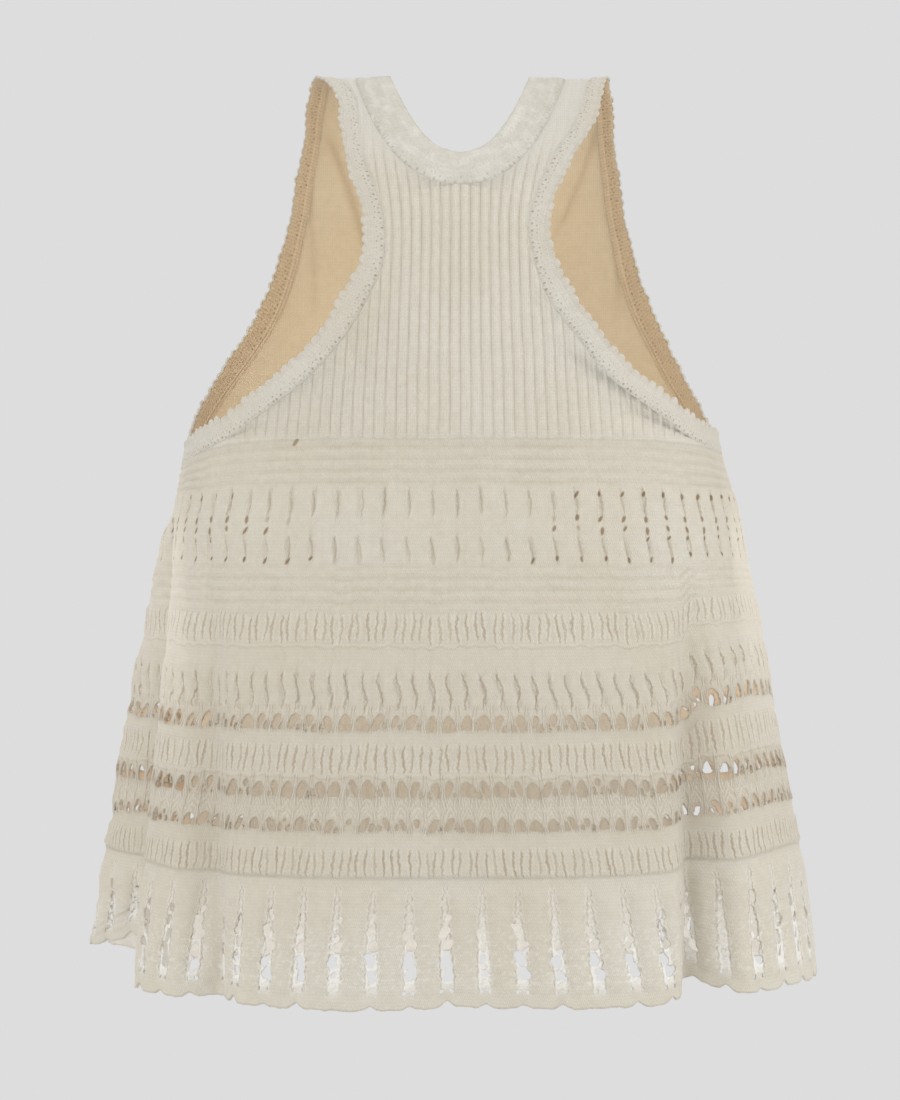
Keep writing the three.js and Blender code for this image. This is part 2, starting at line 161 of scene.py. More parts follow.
# %% The folds and the point on the form
FOLD_COLUMNS = ("top", "hem", "spread", "start", "out", "growth", "lift", "hem_lift")
FOLDS = {
    "front right valley":  (46, 39.5, 4.5, 300, -30, 0.8, 3, 10),
    "right lobe":          (72, 68, 26, 290, 5, 0.7, 13, 7),
    "right side":          (92, 96, 12, 330, -3, 1, 3, 13),
    "back right lobe":     (118, 120, 9, 280, 9, 0.8, 3, 4),
    "back right valley":   (138, 140, 6, 310, -19, 0.8, 0, 4),
    "back middle lobe":    (164, 163, 10, 320, 9, 1, 0, 2),
    "back middle valley":  (186, 188, 6, 330, -14, 1, 0, 3),
    "back left valley":    (224, 226, 7, 290, -17, 0.8, 0, 4),
    "back left lobe":      (256, 252, 12, 252, 41, 0.55, 4, 12),
    "left side tuck":      (274, 276, 5.5, 252, -34, 0.7, 2, 4),
    "front left lobe":     (290, 293, 7, 262, 5, 0.5, 3, 2),
    "front left valley":   (304, 314, 5.5, 270, -17, 0.7, 0, 2),
    "front middle flute":  (338, 340, 9, 340, 5, 1.2, 0, 0),
    "front middle hollow": (2, 3, 9, 360, -5, 1.2, 0, 1),
}
FOLD_EASE = 30.0        # the height over which a fold starts


def plain_section(around, level):
    """Where a place lies, seen from above, before any folds."""
    a = np.radians(around)
    sideways = (np.sin(a) + SQUARENESS * np.sin(3 * a)) / (1 - SQUARENESS)
    outward = (np.cos(a) - SQUARENESS * np.cos(3 * a)) / (1 - SQUARENESS)
    drop = drop_at(level)
    width = np.where(sideways < 0, width_at["left"](drop), width_at["right"](drop))
    cap = np.radians(np.minimum(level, 90))
    below = np.maximum(drop, CHEST_DROP)
    depth = {}
    for side in ("front", "back"):
        depth[side] = depth_at[side](below) * np.sin(cap) * (1 - CHEST_HOLLOW[side] * np.cos(cap))
    return sideways * width, -outward * np.where(outward > 0, depth["front"], depth["back"])


def beside_fold(name, around, drop):
    """A fold by its columns, how far down it a place is, and how far beside it in degrees."""
    fold = dict(zip(FOLD_COLUMNS, FOLDS[name]))
    reach = np.clip((drop - fold["start"]) / (HEM_BOTTOM - fold["start"]), 0, 1)
    middle = mix(fold["top"], fold["hem"], reach)
    return fold, reach, np.mod(around - middle + 180, 360) - 180


def fold_at(around, drop):
    """How far the folds push a place out, and how far they draw it up."""
    out, lift = np.zeros_like(drop), np.zeros_like(drop)
    for name in FOLDS:
        fold, reach, beside = beside_fold(name, around, drop)
        away = beside / fold["spread"]
        share = np.exp(-away * away) * smoothstep((drop - fold["start"]) / FOLD_EASE)
        flounce = smoothstep((drop - HEM_TOP) / (HEM_BOTTOM - HEM_TOP))
        raised = np.clip((drop - fold["start"]) / (HEM_TOP - fold["start"]), 0, 1)
        out += fold["out"] * share * reach ** fold["growth"]
        lift += mix(fold["lift"], fold["hem_lift"], flounce) * share * raised ** fold["growth"]
    return out, lift


def form_point(around, level):
    """The points, in millimetres, of any number of places on the form."""
    around, level = np.broadcast_arrays(np.asarray(around, float), np.asarray(level, float))
    around = np.where(level < 0, 180 - around, around)
    level = np.abs(level)
    drop = drop_at(level)
    x, y = plain_section(around, level)
    ahead, behind = plain_section(around + 0.5, level), plain_section(around - 0.5, level)
    along_x, along_y = ahead[0] - behind[0], ahead[1] - behind[1]
    length = np.hypot(along_x, along_y) + 1e-9
    out, lift = fold_at(around, drop)
    return np.stack([x + along_y / length * out, y - along_x / length * out, lift - drop], -1)


def tangents(around, level, step=0.2):
    """How a place moves for one degree around, and for one degree of level."""
    across = form_point(around + step, level) - form_point(around - step, level)
    down = form_point(around, level + step) - form_point(around, level - step)
    return across / (2 * step), down / (2 * step)


def outward_normal(around, level):
    """Unit vectors that point out of the cloth."""
    across, down = tangents(around, level)
    normal = np.cross(down, across)
    return normal / (np.linalg.norm(normal, axis=-1, keepdims=True) + 1e-9)


def length_along(points):
    """The length of a line up to each of its points."""
    return np.concatenate([[0], np.cumsum(np.linalg.norm(np.diff(points, axis=0), axis=1))])


print("hem corner at the right:", form_point(90.0, level_at(HEM_BOTTOM)).round(1))

# %% [markdown]
# ## Shader maths as plain expressions
#
# A knit material is mostly arithmetic: where is this point within its stitch, and how high is
# the yarn there? The small class below wraps one socket, so that sums can be written with + and
# * and the nodes are added by themselves.

# %% A helper for node materials
class Wire:
    """One output socket in a material, with arithmetic."""

    def __init__(self, tree, socket):
        self.tree, self.socket = tree, socket

    def math(self, operation, *others, clamp=False):
        node = self.tree.nodes.new("ShaderNodeMath")
        node.operation, node.use_clamp = operation, clamp
        for slot, value in zip(node.inputs, (self, *others)):
            plug(self.tree, slot, value)
        return Wire(self.tree, node.outputs[0])

    def __add__(self, other): return self.math("ADD", other)
    def __radd__(self, other): return self.math("ADD", other)
    def __mul__(self, other): return self.math("MULTIPLY", other)
    def __rmul__(self, other): return self.math("MULTIPLY", other)
    def __sub__(self, other): return self.math("SUBTRACT", other)
    def __rsub__(self, other): return (self * -1).math("ADD", other)
    def __truediv__(self, other): return self.math("DIVIDE", other)
    def __pow__(self, other):
        return self * self if other == 2 else self.math("POWER", other)

    def absolute(self): return self.math("ABSOLUTE")
    def floor(self): return self.math("FLOOR")
    def sine(self): return self.math("SINE")
    def positive(self): return self.math("MAXIMUM", 0.0)

    def clamped(self, times=1.0):
        """The wire times a number, held between 0 and 1."""
        return self.math("MULTIPLY", times, clamp=True)


def plug(tree, slot, value):
    """Links a wire to a socket, or sets a plain value on it."""
    if isinstance(value, Wire):
        tree.links.new(value.socket, slot)
    else:
        slot.default_value = value


def add_node(tree, kind, settings=None, output=0, **values):
    """Any node: its settings first, then its sockets by name with spaces written as _."""
    node = tree.nodes.new(kind)
    for key, value in (settings or {}).items():
        setattr(node, key, value)
    for key, value in values.items():
        numbered = key[0] == "i" and key[1:].isdigit()
        plug(tree, node.inputs[int(key[1:]) if numbered else key.replace("_", " ")], value)
    return Wire(tree, node.outputs[output])


def split(tree, vector):
    """The three parts of a vector or a colour."""
    first = add_node(tree, "ShaderNodeSeparateXYZ", i0=vector)
    return [Wire(tree, socket) for socket in first.socket.node.outputs]


def mark(tree, name):
    """One of the numbers that a sheet carries at each crossing."""
    return add_node(tree, "ShaderNodeAttribute", {"attribute_name": name}, output=2)


def flat_noise(tree, x, y, scale=1.0, detail=2.0):
    """Noise that is read at two numbers."""
    place = add_node(tree, "ShaderNodeCombineXYZ", X=x, Y=y)
    settings = {"noise_dimensions": "2D"}
    return add_node(tree, "ShaderNodeTexNoise", settings, Vector=place, Scale=scale, Detail=detail)


def blend_colours(tree, factor, a, b):
    """A Mix node on colours. Plain colours are given as three numbers."""
    full = [c if isinstance(c, Wire) else (*c, 1) for c in (a, b)]
    settings = {"data_type": "RGBA"}
    return add_node(tree, "ShaderNodeMix", settings, output=2, i0=factor, i6=full[0], i7=full[1])


def times(colour, factor):
    return tuple(part * factor for part in colour)


def most(wires):
    total = wires[0]
    for wire in wires[1:]:
        total = total.math("MAXIMUM", wire)
    return total


def strand(distance, width):
    """1 along a line, falling to 0 at a given distance from it."""
    return (1 - (distance / width).absolute()).positive()


# %% [markdown]
# ## Camera, floor and light
#
# The top is seen from straight in front, at about half its height, from a little over two metres.
# A long lens keeps its proportions. A round pale floor lies well below, out of this camera's sight,
# and fades out towards its rim, so that no edge shows from any side. The pale world is the plain
# backdrop, the same all round. Large area lights give soft shadows: wool needs broad light, or its
# nap turns to glitter.

# %% Stage
FIELD_HEIGHT = 0.6716   # how much of the scene the camera sees, top to bottom, at the middle
CAMERA_DISTANCE = 2.2
FLOOR_Z = -1.75
FLOOR_RADIUS = 2.2
CAMERA_PLACE = (-0.0061, -CAMERA_DISTANCE, -0.2875)
BACKDROP = 0.723        # how bright the pale world is


def object_from(bm, name, materials):
    """A smooth object of the scene, made from a finished bmesh."""
    mesh = bpy.data.meshes.new(name)
    bm.to_mesh(mesh)
    bm.free()
    mesh.shade_smooth()
    for material in materials:
        mesh.materials.append(material)
    piece = bpy.data.objects.new(name, mesh)
    bpy.context.scene.collection.objects.link(piece)
    return piece


def floor():
    """A round sheet, all there in the middle and faded out at its rim."""
    paint = bpy.data.materials.new("floor paint")
    paint.use_nodes = True
    tree = paint.node_tree
    shader = tree.nodes["Principled BSDF"]
    shader.inputs["Base Color"].default_value = (0.62, 0.62, 0.615, 1)
    shader.inputs["Roughness"].default_value = 0.9
    place = add_node(tree, "ShaderNodeTexCoord", output="Object")
    reach = add_node(tree, "ShaderNodeVectorMath", {"operation": "SCALE"}, i0=place, Scale=1 / FLOOR_RADIUS)
    inwards = add_node(tree, "ShaderNodeTexGradient", {"gradient_type": "SPHERICAL"}, output=1, Vector=reach)
    plug(tree, shader.inputs["Alpha"], inwards.clamped(2.2))
    bm = bmesh.new()
    bmesh.ops.create_circle(bm, cap_ends=True, segments=96, radius=FLOOR_RADIUS)
    sheet = object_from(bm, "floor", [paint])
    sheet.location.z = FLOOR_Z


def area_light(name, place, aim, size, power, colour=(1, 1, 1)):
    light = bpy.data.lights.new(name, "AREA")
    light.shape = "SQUARE"
    light.size = size
    light.energy = power
    light.color = colour
    lamp = bpy.data.objects.new(name, light)
    lamp.location = place
    lamp.rotation_euler = (Vector(aim) - Vector(place)).to_track_quat("-Z", "Y").to_euler()
    bpy.context.scene.collection.objects.link(lamp)


def camera():
    lens = bpy.data.cameras.new("camera")
    lens.sensor_width = 36
    lens.lens = 36 * CAMERA_DISTANCE / FIELD_HEIGHT
    eye = bpy.data.objects.new("camera", lens)
    eye.location = CAMERA_PLACE
    eye.rotation_euler = (math.radians(90), 0, 0)
    bpy.context.scene.collection.objects.link(eye)
    bpy.context.scene.camera = eye
    print("camera lens:", round(lens.lens, 1), "mm")


bpy.context.scene.view_settings.view_transform = "Standard"
floor()
camera()
middle = (0, 0, -0.3)
area_light("key", (-1.0, -1.9, 0.9), middle, 1.3, 15.0, (1.0, 0.99, 0.97))
area_light("fill", (1.5, -1.7, 0.1), middle, 1.8, 11.0)
area_light("left side", (-1.6, -0.5, -0.5), (0, 0, -0.4), 1.2, 6.9)
area_light("right side", (1.6, -0.4, -0.5), (0, 0, -0.4), 1.2, 9.6)
area_light("top", (0.1, 0.4, 1.5), middle, 1.4, 9)
area_light("through", (0.0, 1.5, 0.1), (0, 0, -0.25), 1.6, 15, (1.0, 0.98, 0.95))
# Small lamps inside the top keep the lace holes from looking black.
area_light("inside", (0.0, -0.04, -0.44), (0.0, 0.2, -0.47), 0.26, 0.13, (1.0, 0.98, 0.95))
for side in (-1, 1):
    area_light("inside side", (0.10 * side, -0.03, -0.33), (0.19 * side, 0.12, -0.36), 0.12, 0.09,
               (1.0, 0.97, 0.92))
area_light("inside upper", (0.0, -0.01, -0.24), (0.0, 0.2, -0.2), 0.12, 0.07, (1.0, 0.98, 0.95))
world = bpy.data.worlds.new("studio")
world.use_nodes = True
world.node_tree.nodes["Background"].inputs["Color"].default_value = (1.0, 1.0, 1.0, 1)
world.node_tree.nodes["Background"].inputs["Strength"].default_value = BACKDROP
bpy.context.scene.world = world

# %% [markdown]
# ## Wool
#
# Close up, stocking stitch is a field of small Vs: each stitch has two legs of yarn that lean
# together. Far away only a fine grain is left, and the nap of the brushed wool softens it. The
# material builds the V from the sheet's own UV map, whose unit is ten millimetres of cloth, and
# feeds it to a Bump node. Grooves, holes' rims and the hollows between ribs are marked on the
# mesh by an attribute called "hollow", which paints shade into the colour: it darkens and warms
# it, as light that is caught in wool does. A weak sheen lifts the edges.

# %% The wool material
STITCH_WIDE = 0.24      # in the UV map's unit of 10 mm
STITCH_TALL = 0.19
CREAM = (0.682, 0.659, 0.586)
HEM_CREAM = (0.687, 0.660, 0.585)
PALE = (0.655, 0.647, 0.602)
# DEEP is the colour that painted shade turns the wool towards, in its hollows, slits and holes.
DEEP = (0.33, 0.235, 0.135)
# TAN colours the inside of the top: warmer and darker than the cream outside, partly as painted shade.
TAN = (0.755, 0.632, 0.452)
STRAP = (0.70, 0.682, 0.632)


def stitches(tree):
    """1 on the legs of each V and 0 between them."""
    along, down, _ = split(tree, add_node(tree, "ShaderNodeUVMap"))
    column = (along / STITCH_WIDE).math("FRACT")
    from_middle = (column - 0.5).absolute()
    # The legs lean, so "down" is shifted by the distance from the middle.
    row = (down / STITCH_TALL + from_middle * 1.3).math("FRACT")
    leg_width = ((from_middle - 0.25) * (2 * math.pi)).math("COSINE")
    return (row * math.pi).sine() * leg_width


def rib_valleys(tree):
    """1 at the bottom between two ribs of a yoke."""
    crest = ((mark(tree, "rib") - 0.5) * math.pi).math("COSINE").absolute()
    return (1 - crest / 0.52).positive() ** 1.2 * mark(tree, "ribbed")


def wrong_side(tree, rough, inner, inner_sides, deep):
    """The colour of the cloth's inner face, which holds painted light and shade of the inside of the top and
    may change towards the side seams.
    """
    if inner_sides is not None:
        beside = (((Cloth(tree).share - 0.5).absolute() - 0.25) * 7).clamped()
        inner = blend_colours(tree, beside, inner, inner_sides)
    return blend_colours(tree, rough, inner, times(deep, 0.8))


def wool(name, colour, deep, grain=0.5, ribbed=False, through=0.22, threads=None, inner=None,
         inner_sides=None, painted_light_colour=None):
    """Knitted wool of a pale colour, with a deeper colour painted into its hollows as shade."""
    material = bpy.data.materials.new(name)
    material.use_nodes = True
    tree = material.node_tree
    shader = tree.nodes["Principled BSDF"]
    shader.inputs["Sheen Weight"].default_value = 0.42
    shader.inputs["Sheen Roughness"].default_value = 0.45
    shader.inputs["Sheen Tint"].default_value = (1.0, 0.97, 0.92, 1)
    shader.inputs["Specular IOR Level"].default_value = 0.12

    place = add_node(tree, "ShaderNodeTexCoord", output="Object")
    hollow = mark(tree, "hollow")
    stitch = stitches(tree)
    fibres, nap, clouds = (
        add_node(tree, "ShaderNodeTexNoise", Vector=place, Scale=scale, Detail=detail, Roughness=roughness)
        for scale, detail, roughness in ((900.0, 3.0, 0.6), (210.0, 3.0, 0.65), (14.0, 2.0, 0.5)))

    light = tuple(min(part * 1.05, 1) for part in colour)
    warm = (colour[0] * 0.97, colour[1] * 0.925, colour[2] * 0.84)
    base = blend_colours(tree, (clouds - 0.35).clamped(1.5), light, warm)
    speckle = ((1 - stitch) * 0.30 + (nap - 0.4) * 0.55 + (fibres - 0.5) * 0.35).clamped(grain)
    grained = blend_colours(tree, speckle, base, times(deep, 0.66))
    height = stitch * 0.55 + nap * 0.8 + fibres * 0.35
    if ribbed:
        # Towards the top of the straps the colour turns to a cooler cream.
        strap = ((split(tree, place)[2] + 0.075) * 16).clamped(0.85)
        grained = blend_colours(tree, strap, grained, STRAP)
        # Painted shade in the valleys between the ribs.
        valley = rib_valleys(tree)
        hollow = hollow + valley * 0.22
        height = height - valley
    if threads is not None:
        shade, pale, raised = threads(tree)
        paler = painted_light_colour or tuple(min(part * 1.12 + 0.03, 1) for part in colour)
        grained = blend_colours(tree, pale, grained, paler)
        hollow = hollow + shade
        height = height + raised
    # Painted shade: the hollows turn towards the deep colour, and the deepest nearly black.
    coloured = blend_colours(tree, hollow.clamped(0.92), grained, deep)
    coloured = blend_colours(tree, (hollow - 1).clamped(0.9), coloured, times(deep, 0.22))
    # Faces seen from behind take the inner colour, with its painted light and shade.
    if inner is not None:
        inside = wrong_side(tree, nap * 0.4 + hollow * 0.4, inner, inner_sides, deep)
        back = add_node(tree, "ShaderNodeNewGeometry", output="Backfacing")
        coloured = blend_colours(tree, back, coloured, inside)
    plug(tree, shader.inputs["Base Color"], coloured)
    plug(tree, shader.inputs["Roughness"], (nap * 0.2 + 0.78).clamped())
    bump = add_node(tree, "ShaderNodeBump", Height=height, Strength=0.55, Distance=0.0009)
    plug(tree, shader.inputs["Normal"], bump)
    # Some light passes through loose knitting.
    glow = add_node(tree, "ShaderNodeBsdfTranslucent", Color=(*colour, 1))
    cloth = add_node(tree, "ShaderNodeMixShader", i0=through, i1=Wire(tree, shader.outputs[0]), i2=glow)
    plug(tree, tree.nodes["Material Output"].inputs["Surface"], cloth)
    return material


MATERIALS = {
    "yoke": wool("rib wool", (0.76, 0.737, 0.662), DEEP, ribbed=True),
    "inside": wool("wrong side wool", TAN, (0.42, 0.27, 0.13)),
}
print("materials:", [m.name for m in MATERIALS.values()])

# %% [markdown]
# ## Lace threads that are too fine for a mesh
#
# A slit in the knitting is about a millimetre wide and bends like a loose thread, which is finer
# than the grid of a sheet. So the sheets carry three numbers at each crossing: "share", how far
# along its half of the garment it is, "fall", how far below the shoulder, and "span", how long
# its row is in millimetres. From these the material works out where each slit lies. Every slit
# gets its own chance from a White Noise node, and no two are alike.

# %% Slits and holes as node maths
class Cloth:
    """The place on the cloth as three wires."""

    def __init__(self, tree):
        self.tree = tree
        self.share, self.fall, self.span = (mark(tree, name) for name in ("share", "fall", "span"))
        # The yarn itself wanders from stitch to stitch.
        self.fray = flat_noise(tree, self.share * self.span * 0.36, self.fall * 0.42, detail=1.0) - 0.5

    def chance(self, number, seed):
        """Three random wires from 0 to 1 for a stitch number."""
        settings = {"noise_dimensions": "1D"}
        return split(self.tree, add_node(self.tree, "ShaderNodeTexWhiteNoise", settings, 1, W=number + seed))

    def motif(self, count, seed, shift=0.0):
        """The nearest motif of a row: its number, how far beside it we are in mm, its chances."""
        q = self.share * count + shift
        number = (q + 0.5).floor()
        return number, (q - number) * self.span / count, self.chance(number, seed)

    def drift(self, scale, seed):
        """A slow wave along the cloth from about -1 to 1."""
        settings = {"noise_dimensions": "1D"}
        noise = add_node(self.tree, "ShaderNodeTexNoise", settings, W=self.share * scale + seed, Detail=1.0)
        return (noise - 0.5) * 3

    def inside(self, top, bottom, sharpness):
        """1 between two drops and 0 outside them."""
        return ((self.fall - top) * sharpness).clamped() * ((bottom - self.fall) * sharpness).clamped()


def slit_row(cloth, count, middle, tall, width, lean, bow, crooked, seed, shift, wander, loose):
    """A row of narrow gaps. Gives how deep a place is in a gap, and how near to its lips."""
    _, beside, (one, two, three) = cloth.motif(count, seed, shift)
    away = cloth.fall - middle - (one - 0.5) * 1.4 - cloth.drift(9.0, seed) * wander
    curve = (away * (0.30 + 0.1 / max(tall, 1)) + two * loose).sine() * bow
    sideways = beside - away * lean - curve - (three - 0.5) * crooked * 2 - cloth.fray * crooked * 1.9
    taper = (1 - (away / tall) ** 2).positive() ** 0.5
    distance = sideways.absolute()
    gap = (1 - (distance / (taper * width + 0.02)) ** 2).positive()
    lips = strand(distance - width * 1.7, width * 0.85)
    return gap * (0.55 + two * 0.45), lips * taper.math("GREATER_THAN", 0.05)


def dot_row(cloth, count, middle, size, seed, lean, start):
    """Small holes, painted dark as painted shade, only where a slit has been pulled open: towards the sides.
    """
    number, beside, (one, two, three) = cloth.motif(count, seed)
    away = cloth.fall - middle - (one - 0.5) * 1.8
    sideways = beside - lean - (two - 0.5) * 0.7
    slanted = (sideways + away * (three - 0.3) * 0.8) / 0.7
    distance = (slanted ** 2 + (away / (one * 0.7 + 0.9)) ** 2) ** 0.5
    open_here = ((number / count - 0.445).absolute() - start) * 14 + (three - 0.5) * 1.6
    return (1 - distance / size).clamped(2.0) * open_here.clamped()


# %% [markdown]
# ## From a flat chart to a knitted sheet
#
# Each piece starts as a flat grid, like squared knitting paper. A chart says, for every crossing
# of the grid, where on the form it lies, how high the yarn stands there, and whether the place
# is inside a lace hole. Squares inside a hole are deleted, the crossings on its edge are moved
# onto its outline, and the free edges are extruded inwards a little, so that the cloth shows its
# real thickness in every hole and along every edge.

# %% Grids and charts
class Chart:
    """A grid of columns and rows with numpy arrays of its crossings, row by row."""

    def __init__(self, columns, rows):
        self.columns, self.rows = columns, rows
        self.bm = bmesh.new()
        bmesh.ops.create_grid(self.bm, x_segments=columns, y_segments=rows, size=0.5)
        self.bm.verts.ensure_lookup_table()
        co = np.array([v.co[:2] for v in self.bm.verts])
        self.column = np.rint((co[:, 0] + 0.5) * columns).astype(int)
        self.row = rows - np.rint((co[:, 1] + 0.5) * rows).astype(int)


def add_rim(bm, rim, hollow):
    """Turns every free edge inwards, so that the cloth shows its thickness there."""
    edges = [edge for edge in bm.edges if len(edge.link_faces) == 1]
    normals = {v: v.normal.copy() for edge in edges for v in edge.verts}
    made = bmesh.ops.extrude_edge_only(bm, edges=edges)["geom"]
    for v in (g for g in made if isinstance(g, bmesh.types.BMVert)):
        source = min((e.other_vert(v) for e in v.link_edges), key=lambda o: (o.co - v.co).length)
        v.co -= normals[source] * (rim * MM)
        # The rim is painted a little darker, as painted shade.
        v[hollow] = min(source[hollow] + 0.12, 1)


def new_sheet(name, chart, points, marks, uv, materials, removed=None, rim=None):
    """Puts a chart's grid in place, cuts its holes and gives its edges a rim."""
    bm = chart.bm
    for v, point in zip(bm.verts, (points * MM).tolist()):
        v.co = point
    for name_of_mark, values in marks.items():
        layer = bm.verts.layers.float.new(name_of_mark)
        for v, value in zip(bm.verts, values.tolist()):
            v[layer] = value
    uv_layer = bm.loops.layers.uv.verify()
    uv = uv.tolist()
    for face in bm.faces:
        for loop in face.loops:
            loop[uv_layer].uv = uv[loop.vert.index]
    if removed is not None:
        bm.faces.ensure_lookup_table()
        gone = [face for face in bm.faces if removed[[v.index for v in face.verts]].all()]
        bmesh.ops.delete(bm, geom=gone, context="FACES")
    bm.normal_update()
    if rim:
        add_rim(bm, rim, bm.verts.layers.float["hollow"])
    piece = object_from(bm, name, materials)
    triangles = sum(len(face.vertices) - 2 for face in piece.data.polygons)
    print(f"{name}: {len(piece.data.vertices)} points, {triangles} triangles")
    return piece


def noise_line(seed):
    """A smooth random wave of period 1, between about -1 and 1, for uneven handwork."""
    rng = np.random.default_rng(seed)
    terms = [(k, rng.normal() / k**0.6, rng.uniform(0, 2 * np.pi)) for k in range(1, 9)]

    def wave(t):
        return sum(a * np.sin(2 * np.pi * k * t + p) for k, a, p in terms) / 2.6

    return wave


def jitter(seed):
    """A fixed random number from -1 to 1 for every stitch number."""
    values = np.random.default_rng(seed).uniform(-1, 1, 512)
    return lambda number: values[np.mod(number.astype(int), len(values))]


def bell(distance, width):
    return np.exp(-(distance / width) ** 2)


def between(value, low, high, soft=0.8):
    """1 inside a band and 0 outside, with soft edges."""
    return smoothstep((value - low) / soft + 0.5) * smoothstep((high - value) / soft + 0.5)


# %% [markdown]
# ## The lace pattern of the body
#
# The body is knitted in level bands, and the table names them from the top down with the drop
# where each one ends. Garter bands are ridges that run round. The puffs are columns of swollen
# stitches between two rows of slits. Slit ribs are rows of short upright gaps. In the eyelet
# bands yarn is drawn together into clear holes with fine strands beside them.
#
# "count" is how many motifs each half of the garment has. More stitches are added lower down,
# because the cloth flares.

# %% Bands of the body
BODY_BANDS = {
    # name          top   bottom  count
    "garter 1":    (221.0, 250.0, 0),
    "puffs":       (250.0, 297.0, 34),
    "garter 2":    (297.0, 324.0, 0),
    "slit ribs 1": (324.0, 341.0, 86),
    "plain 1":     (341.0, 358.0, 0),
    "long slits":  (358.0, 378.5, 54),
    "eyelets 1":   (378.5, 392.0, 54),
    "plain 2":     (392.0, 399.0, 54),
    "slit ribs 2": (399.0, 416.0, 106),
    "eyelets 2":   (418.0, 430.0, 60),
    "branches":    (430.0, 441.5, 60),
    "eyelets 3":   (441.5, 449.5, 60),
    "plain 3":     (449.5, 458.5, 60),
    "slit ribs 3": (458.5, 474.5, 122),
}
ROW_HEIGHTS = {"garter 1": 1.75, "puffs": 2.0, "garter 2": 1.7, "slit ribs 1": 1.7, "plain 1": 2.8,
               "long slits": 1.6, "eyelets 1": 1.0, "plain 2": 2.0, "slit ribs 2": 1.7, "eyelets 2": 1.0,
               "branches": 1.0, "eyelets 3": 1.0, "plain 3": 2.2, "slit ribs 3": 1.6}
print(len(BODY_BANDS), "bands, from garter stitch at the chest to slit ribs above the flounce")

# %% [markdown]
# ## The fine lace of the body
#
# Slits, small pulled-open holes and strands are drawn by the material, a row of the table for
# each. The slits and holes are painted dark, as painted shade, and the strands paler, as painted
# highlight. A slit leans, bows and wanders by its own chance. Its lips are painted a little paler
# than the cloth, as painted highlight, because a loose loop of yarn catches the light there.

# %% Rows of slits, dots and strands
SLIT_COLUMNS = ("count", "middle", "tall", "width", "lean", "bow", "crooked", "shift", "wander", "loose")
SLIT_ROWS = {
    "upper puff slits":  (34, 260.0, 8.2, 0.72, -0.10, 0.5, 0.9, 0.0, 0.8, 2.2),
    "lower puff slits":  (34, 287.6, 7.8, 0.78, 0.06, 0.8, 0.7, 0.0, 0.8, 2.2),
    "slit ribs 1":       (98, 332.5, 8.4, 0.86, 0.01, 0.60, 1.0, 0.0, 1.8, 6.3),
    "long slits":        (54, 369.5, 11.0, 0.74, 0.10, 1.15, 1.0, 0.5, 1.1, 2.6),
    "slit ribs 2":       (106, 407.5, 8.2, 0.84, 0.00, 0.50, 0.95, 0.0, 1.0, 6.3),
    "slit ribs 3":       (122, 466.6, 7.8, 0.82, 0.00, 0.48, 0.9, 0.0, 1.1, 6.3),
}
DOT_ROWS = {
    # drop, size in mm, sideways in mm, how far from the middle they start
    "top of upper slits":  (255.5, 1.7, 0.7, 0.16),
    "foot of upper slits": (270.0, 2.1, -0.8, 0.13),
    "top of lower slits":  (276.0, 2.0, -0.6, 0.13),
    "middle of lower":     (281.5, 1.5, -0.2, 0.24),
    "foot of lower slits": (293.0, 1.6, 0.6, 0.11),
}
EYELET_ROWS = ("eyelets 1", "eyelets 2", "eyelets 3")
EYELET_STRANDS = ((0.16, 0.9), (-0.14, -0.9), (0.05, 0.0))      # lean, mm beside the knot
BORDER_DROPS = (342.5, 417.0, 472.8)    # thick threads under the bands of slit ribs
GARTER_DROPS = ((224, 250), (298, 324))
SLIPPED_STITCH = (0.292, 224.6)         # share and drop of the one dropped stitch


def body_threads(tree, slipped=None):
    """Painted shade, painted highlight and height of the fine lace of the body, with a slipped stitch if
    wanted.
    """
    cloth = Cloth(tree)
    gaps, lips = [], []
    for k, (name, values) in enumerate(SLIT_ROWS.items()):
        row = dict(zip(SLIT_COLUMNS, values))
        if name == "upper puff slits":
            row["lean"] = (cloth.share - 0.34).math("MINIMUM", -0.02)
        gap, lip = slit_row(cloth, seed=11.3 * k + 2, **row)
        gaps.append(gap * (0.56 if "puff" in name else 0.8))
        lips.append(lip * (0.3 if "puff" in name else 0.9))
    dots = [dot_row(cloth, 34, drop, size, 7.7 * k + 3, lean, start)
            for k, (drop, size, lean, start) in enumerate(DOT_ROWS.values())]
    if slipped is not None:
        share, fall = slipped
        beside, away = (cloth.share - share) * cloth.span, cloth.fall - fall
        dots.append((1 - (((beside + away * 0.45) / 1.5) ** 2 + (away / 2.6) ** 2)).clamped(2.0) * 0.75)
    # Garter ridges are made of small purl bumps, and the border of a rib band is a thick thread.
    bumps = (cloth.share * cloth.span * (math.pi / 1.45)).sine() * (cloth.fall * (math.pi / 1.6)).sine()
    garters = most([cloth.inside(top, bottom, 0.5) for top, bottom in GARTER_DROPS])
    purl = bumps * garters * (cloth.fray * 3 + 0.45).clamped()

    def border(number, below=0.0):
        middle = cloth.fall - BORDER_DROPS[number] - below
        return strand(middle - cloth.drift(14.0, 40 + number) * 1.1, 0.9)

    borders = [border(number) for number in range(len(BORDER_DROPS))]
    # A thin line of painted shadow under the first two border threads.
    under = [border(number, 1.5) * 0.22 for number in (0, 1)]
    strands, pale = eyelet_threads(cloth)
    # The lower bands are looser and hold more shade.
    loose = ((cloth.fall - 315) * 0.0017).positive().math("MINIMUM", 0.15)
    # Painted shade in the slits and the small holes, and a little more in the lower bands.
    shade = loose + most(gaps) * 0.85 + most(dots) * 1.3 + most(under) + strands
    # Painted highlight on the lips of the slits, the border threads and the eyelet strands.
    bright = most(lips) * 0.55 + most(borders) * 0.3 + pale
    return shade, bright.clamped(), purl * 0.5 + bright * 1.2 - shade * 1.6


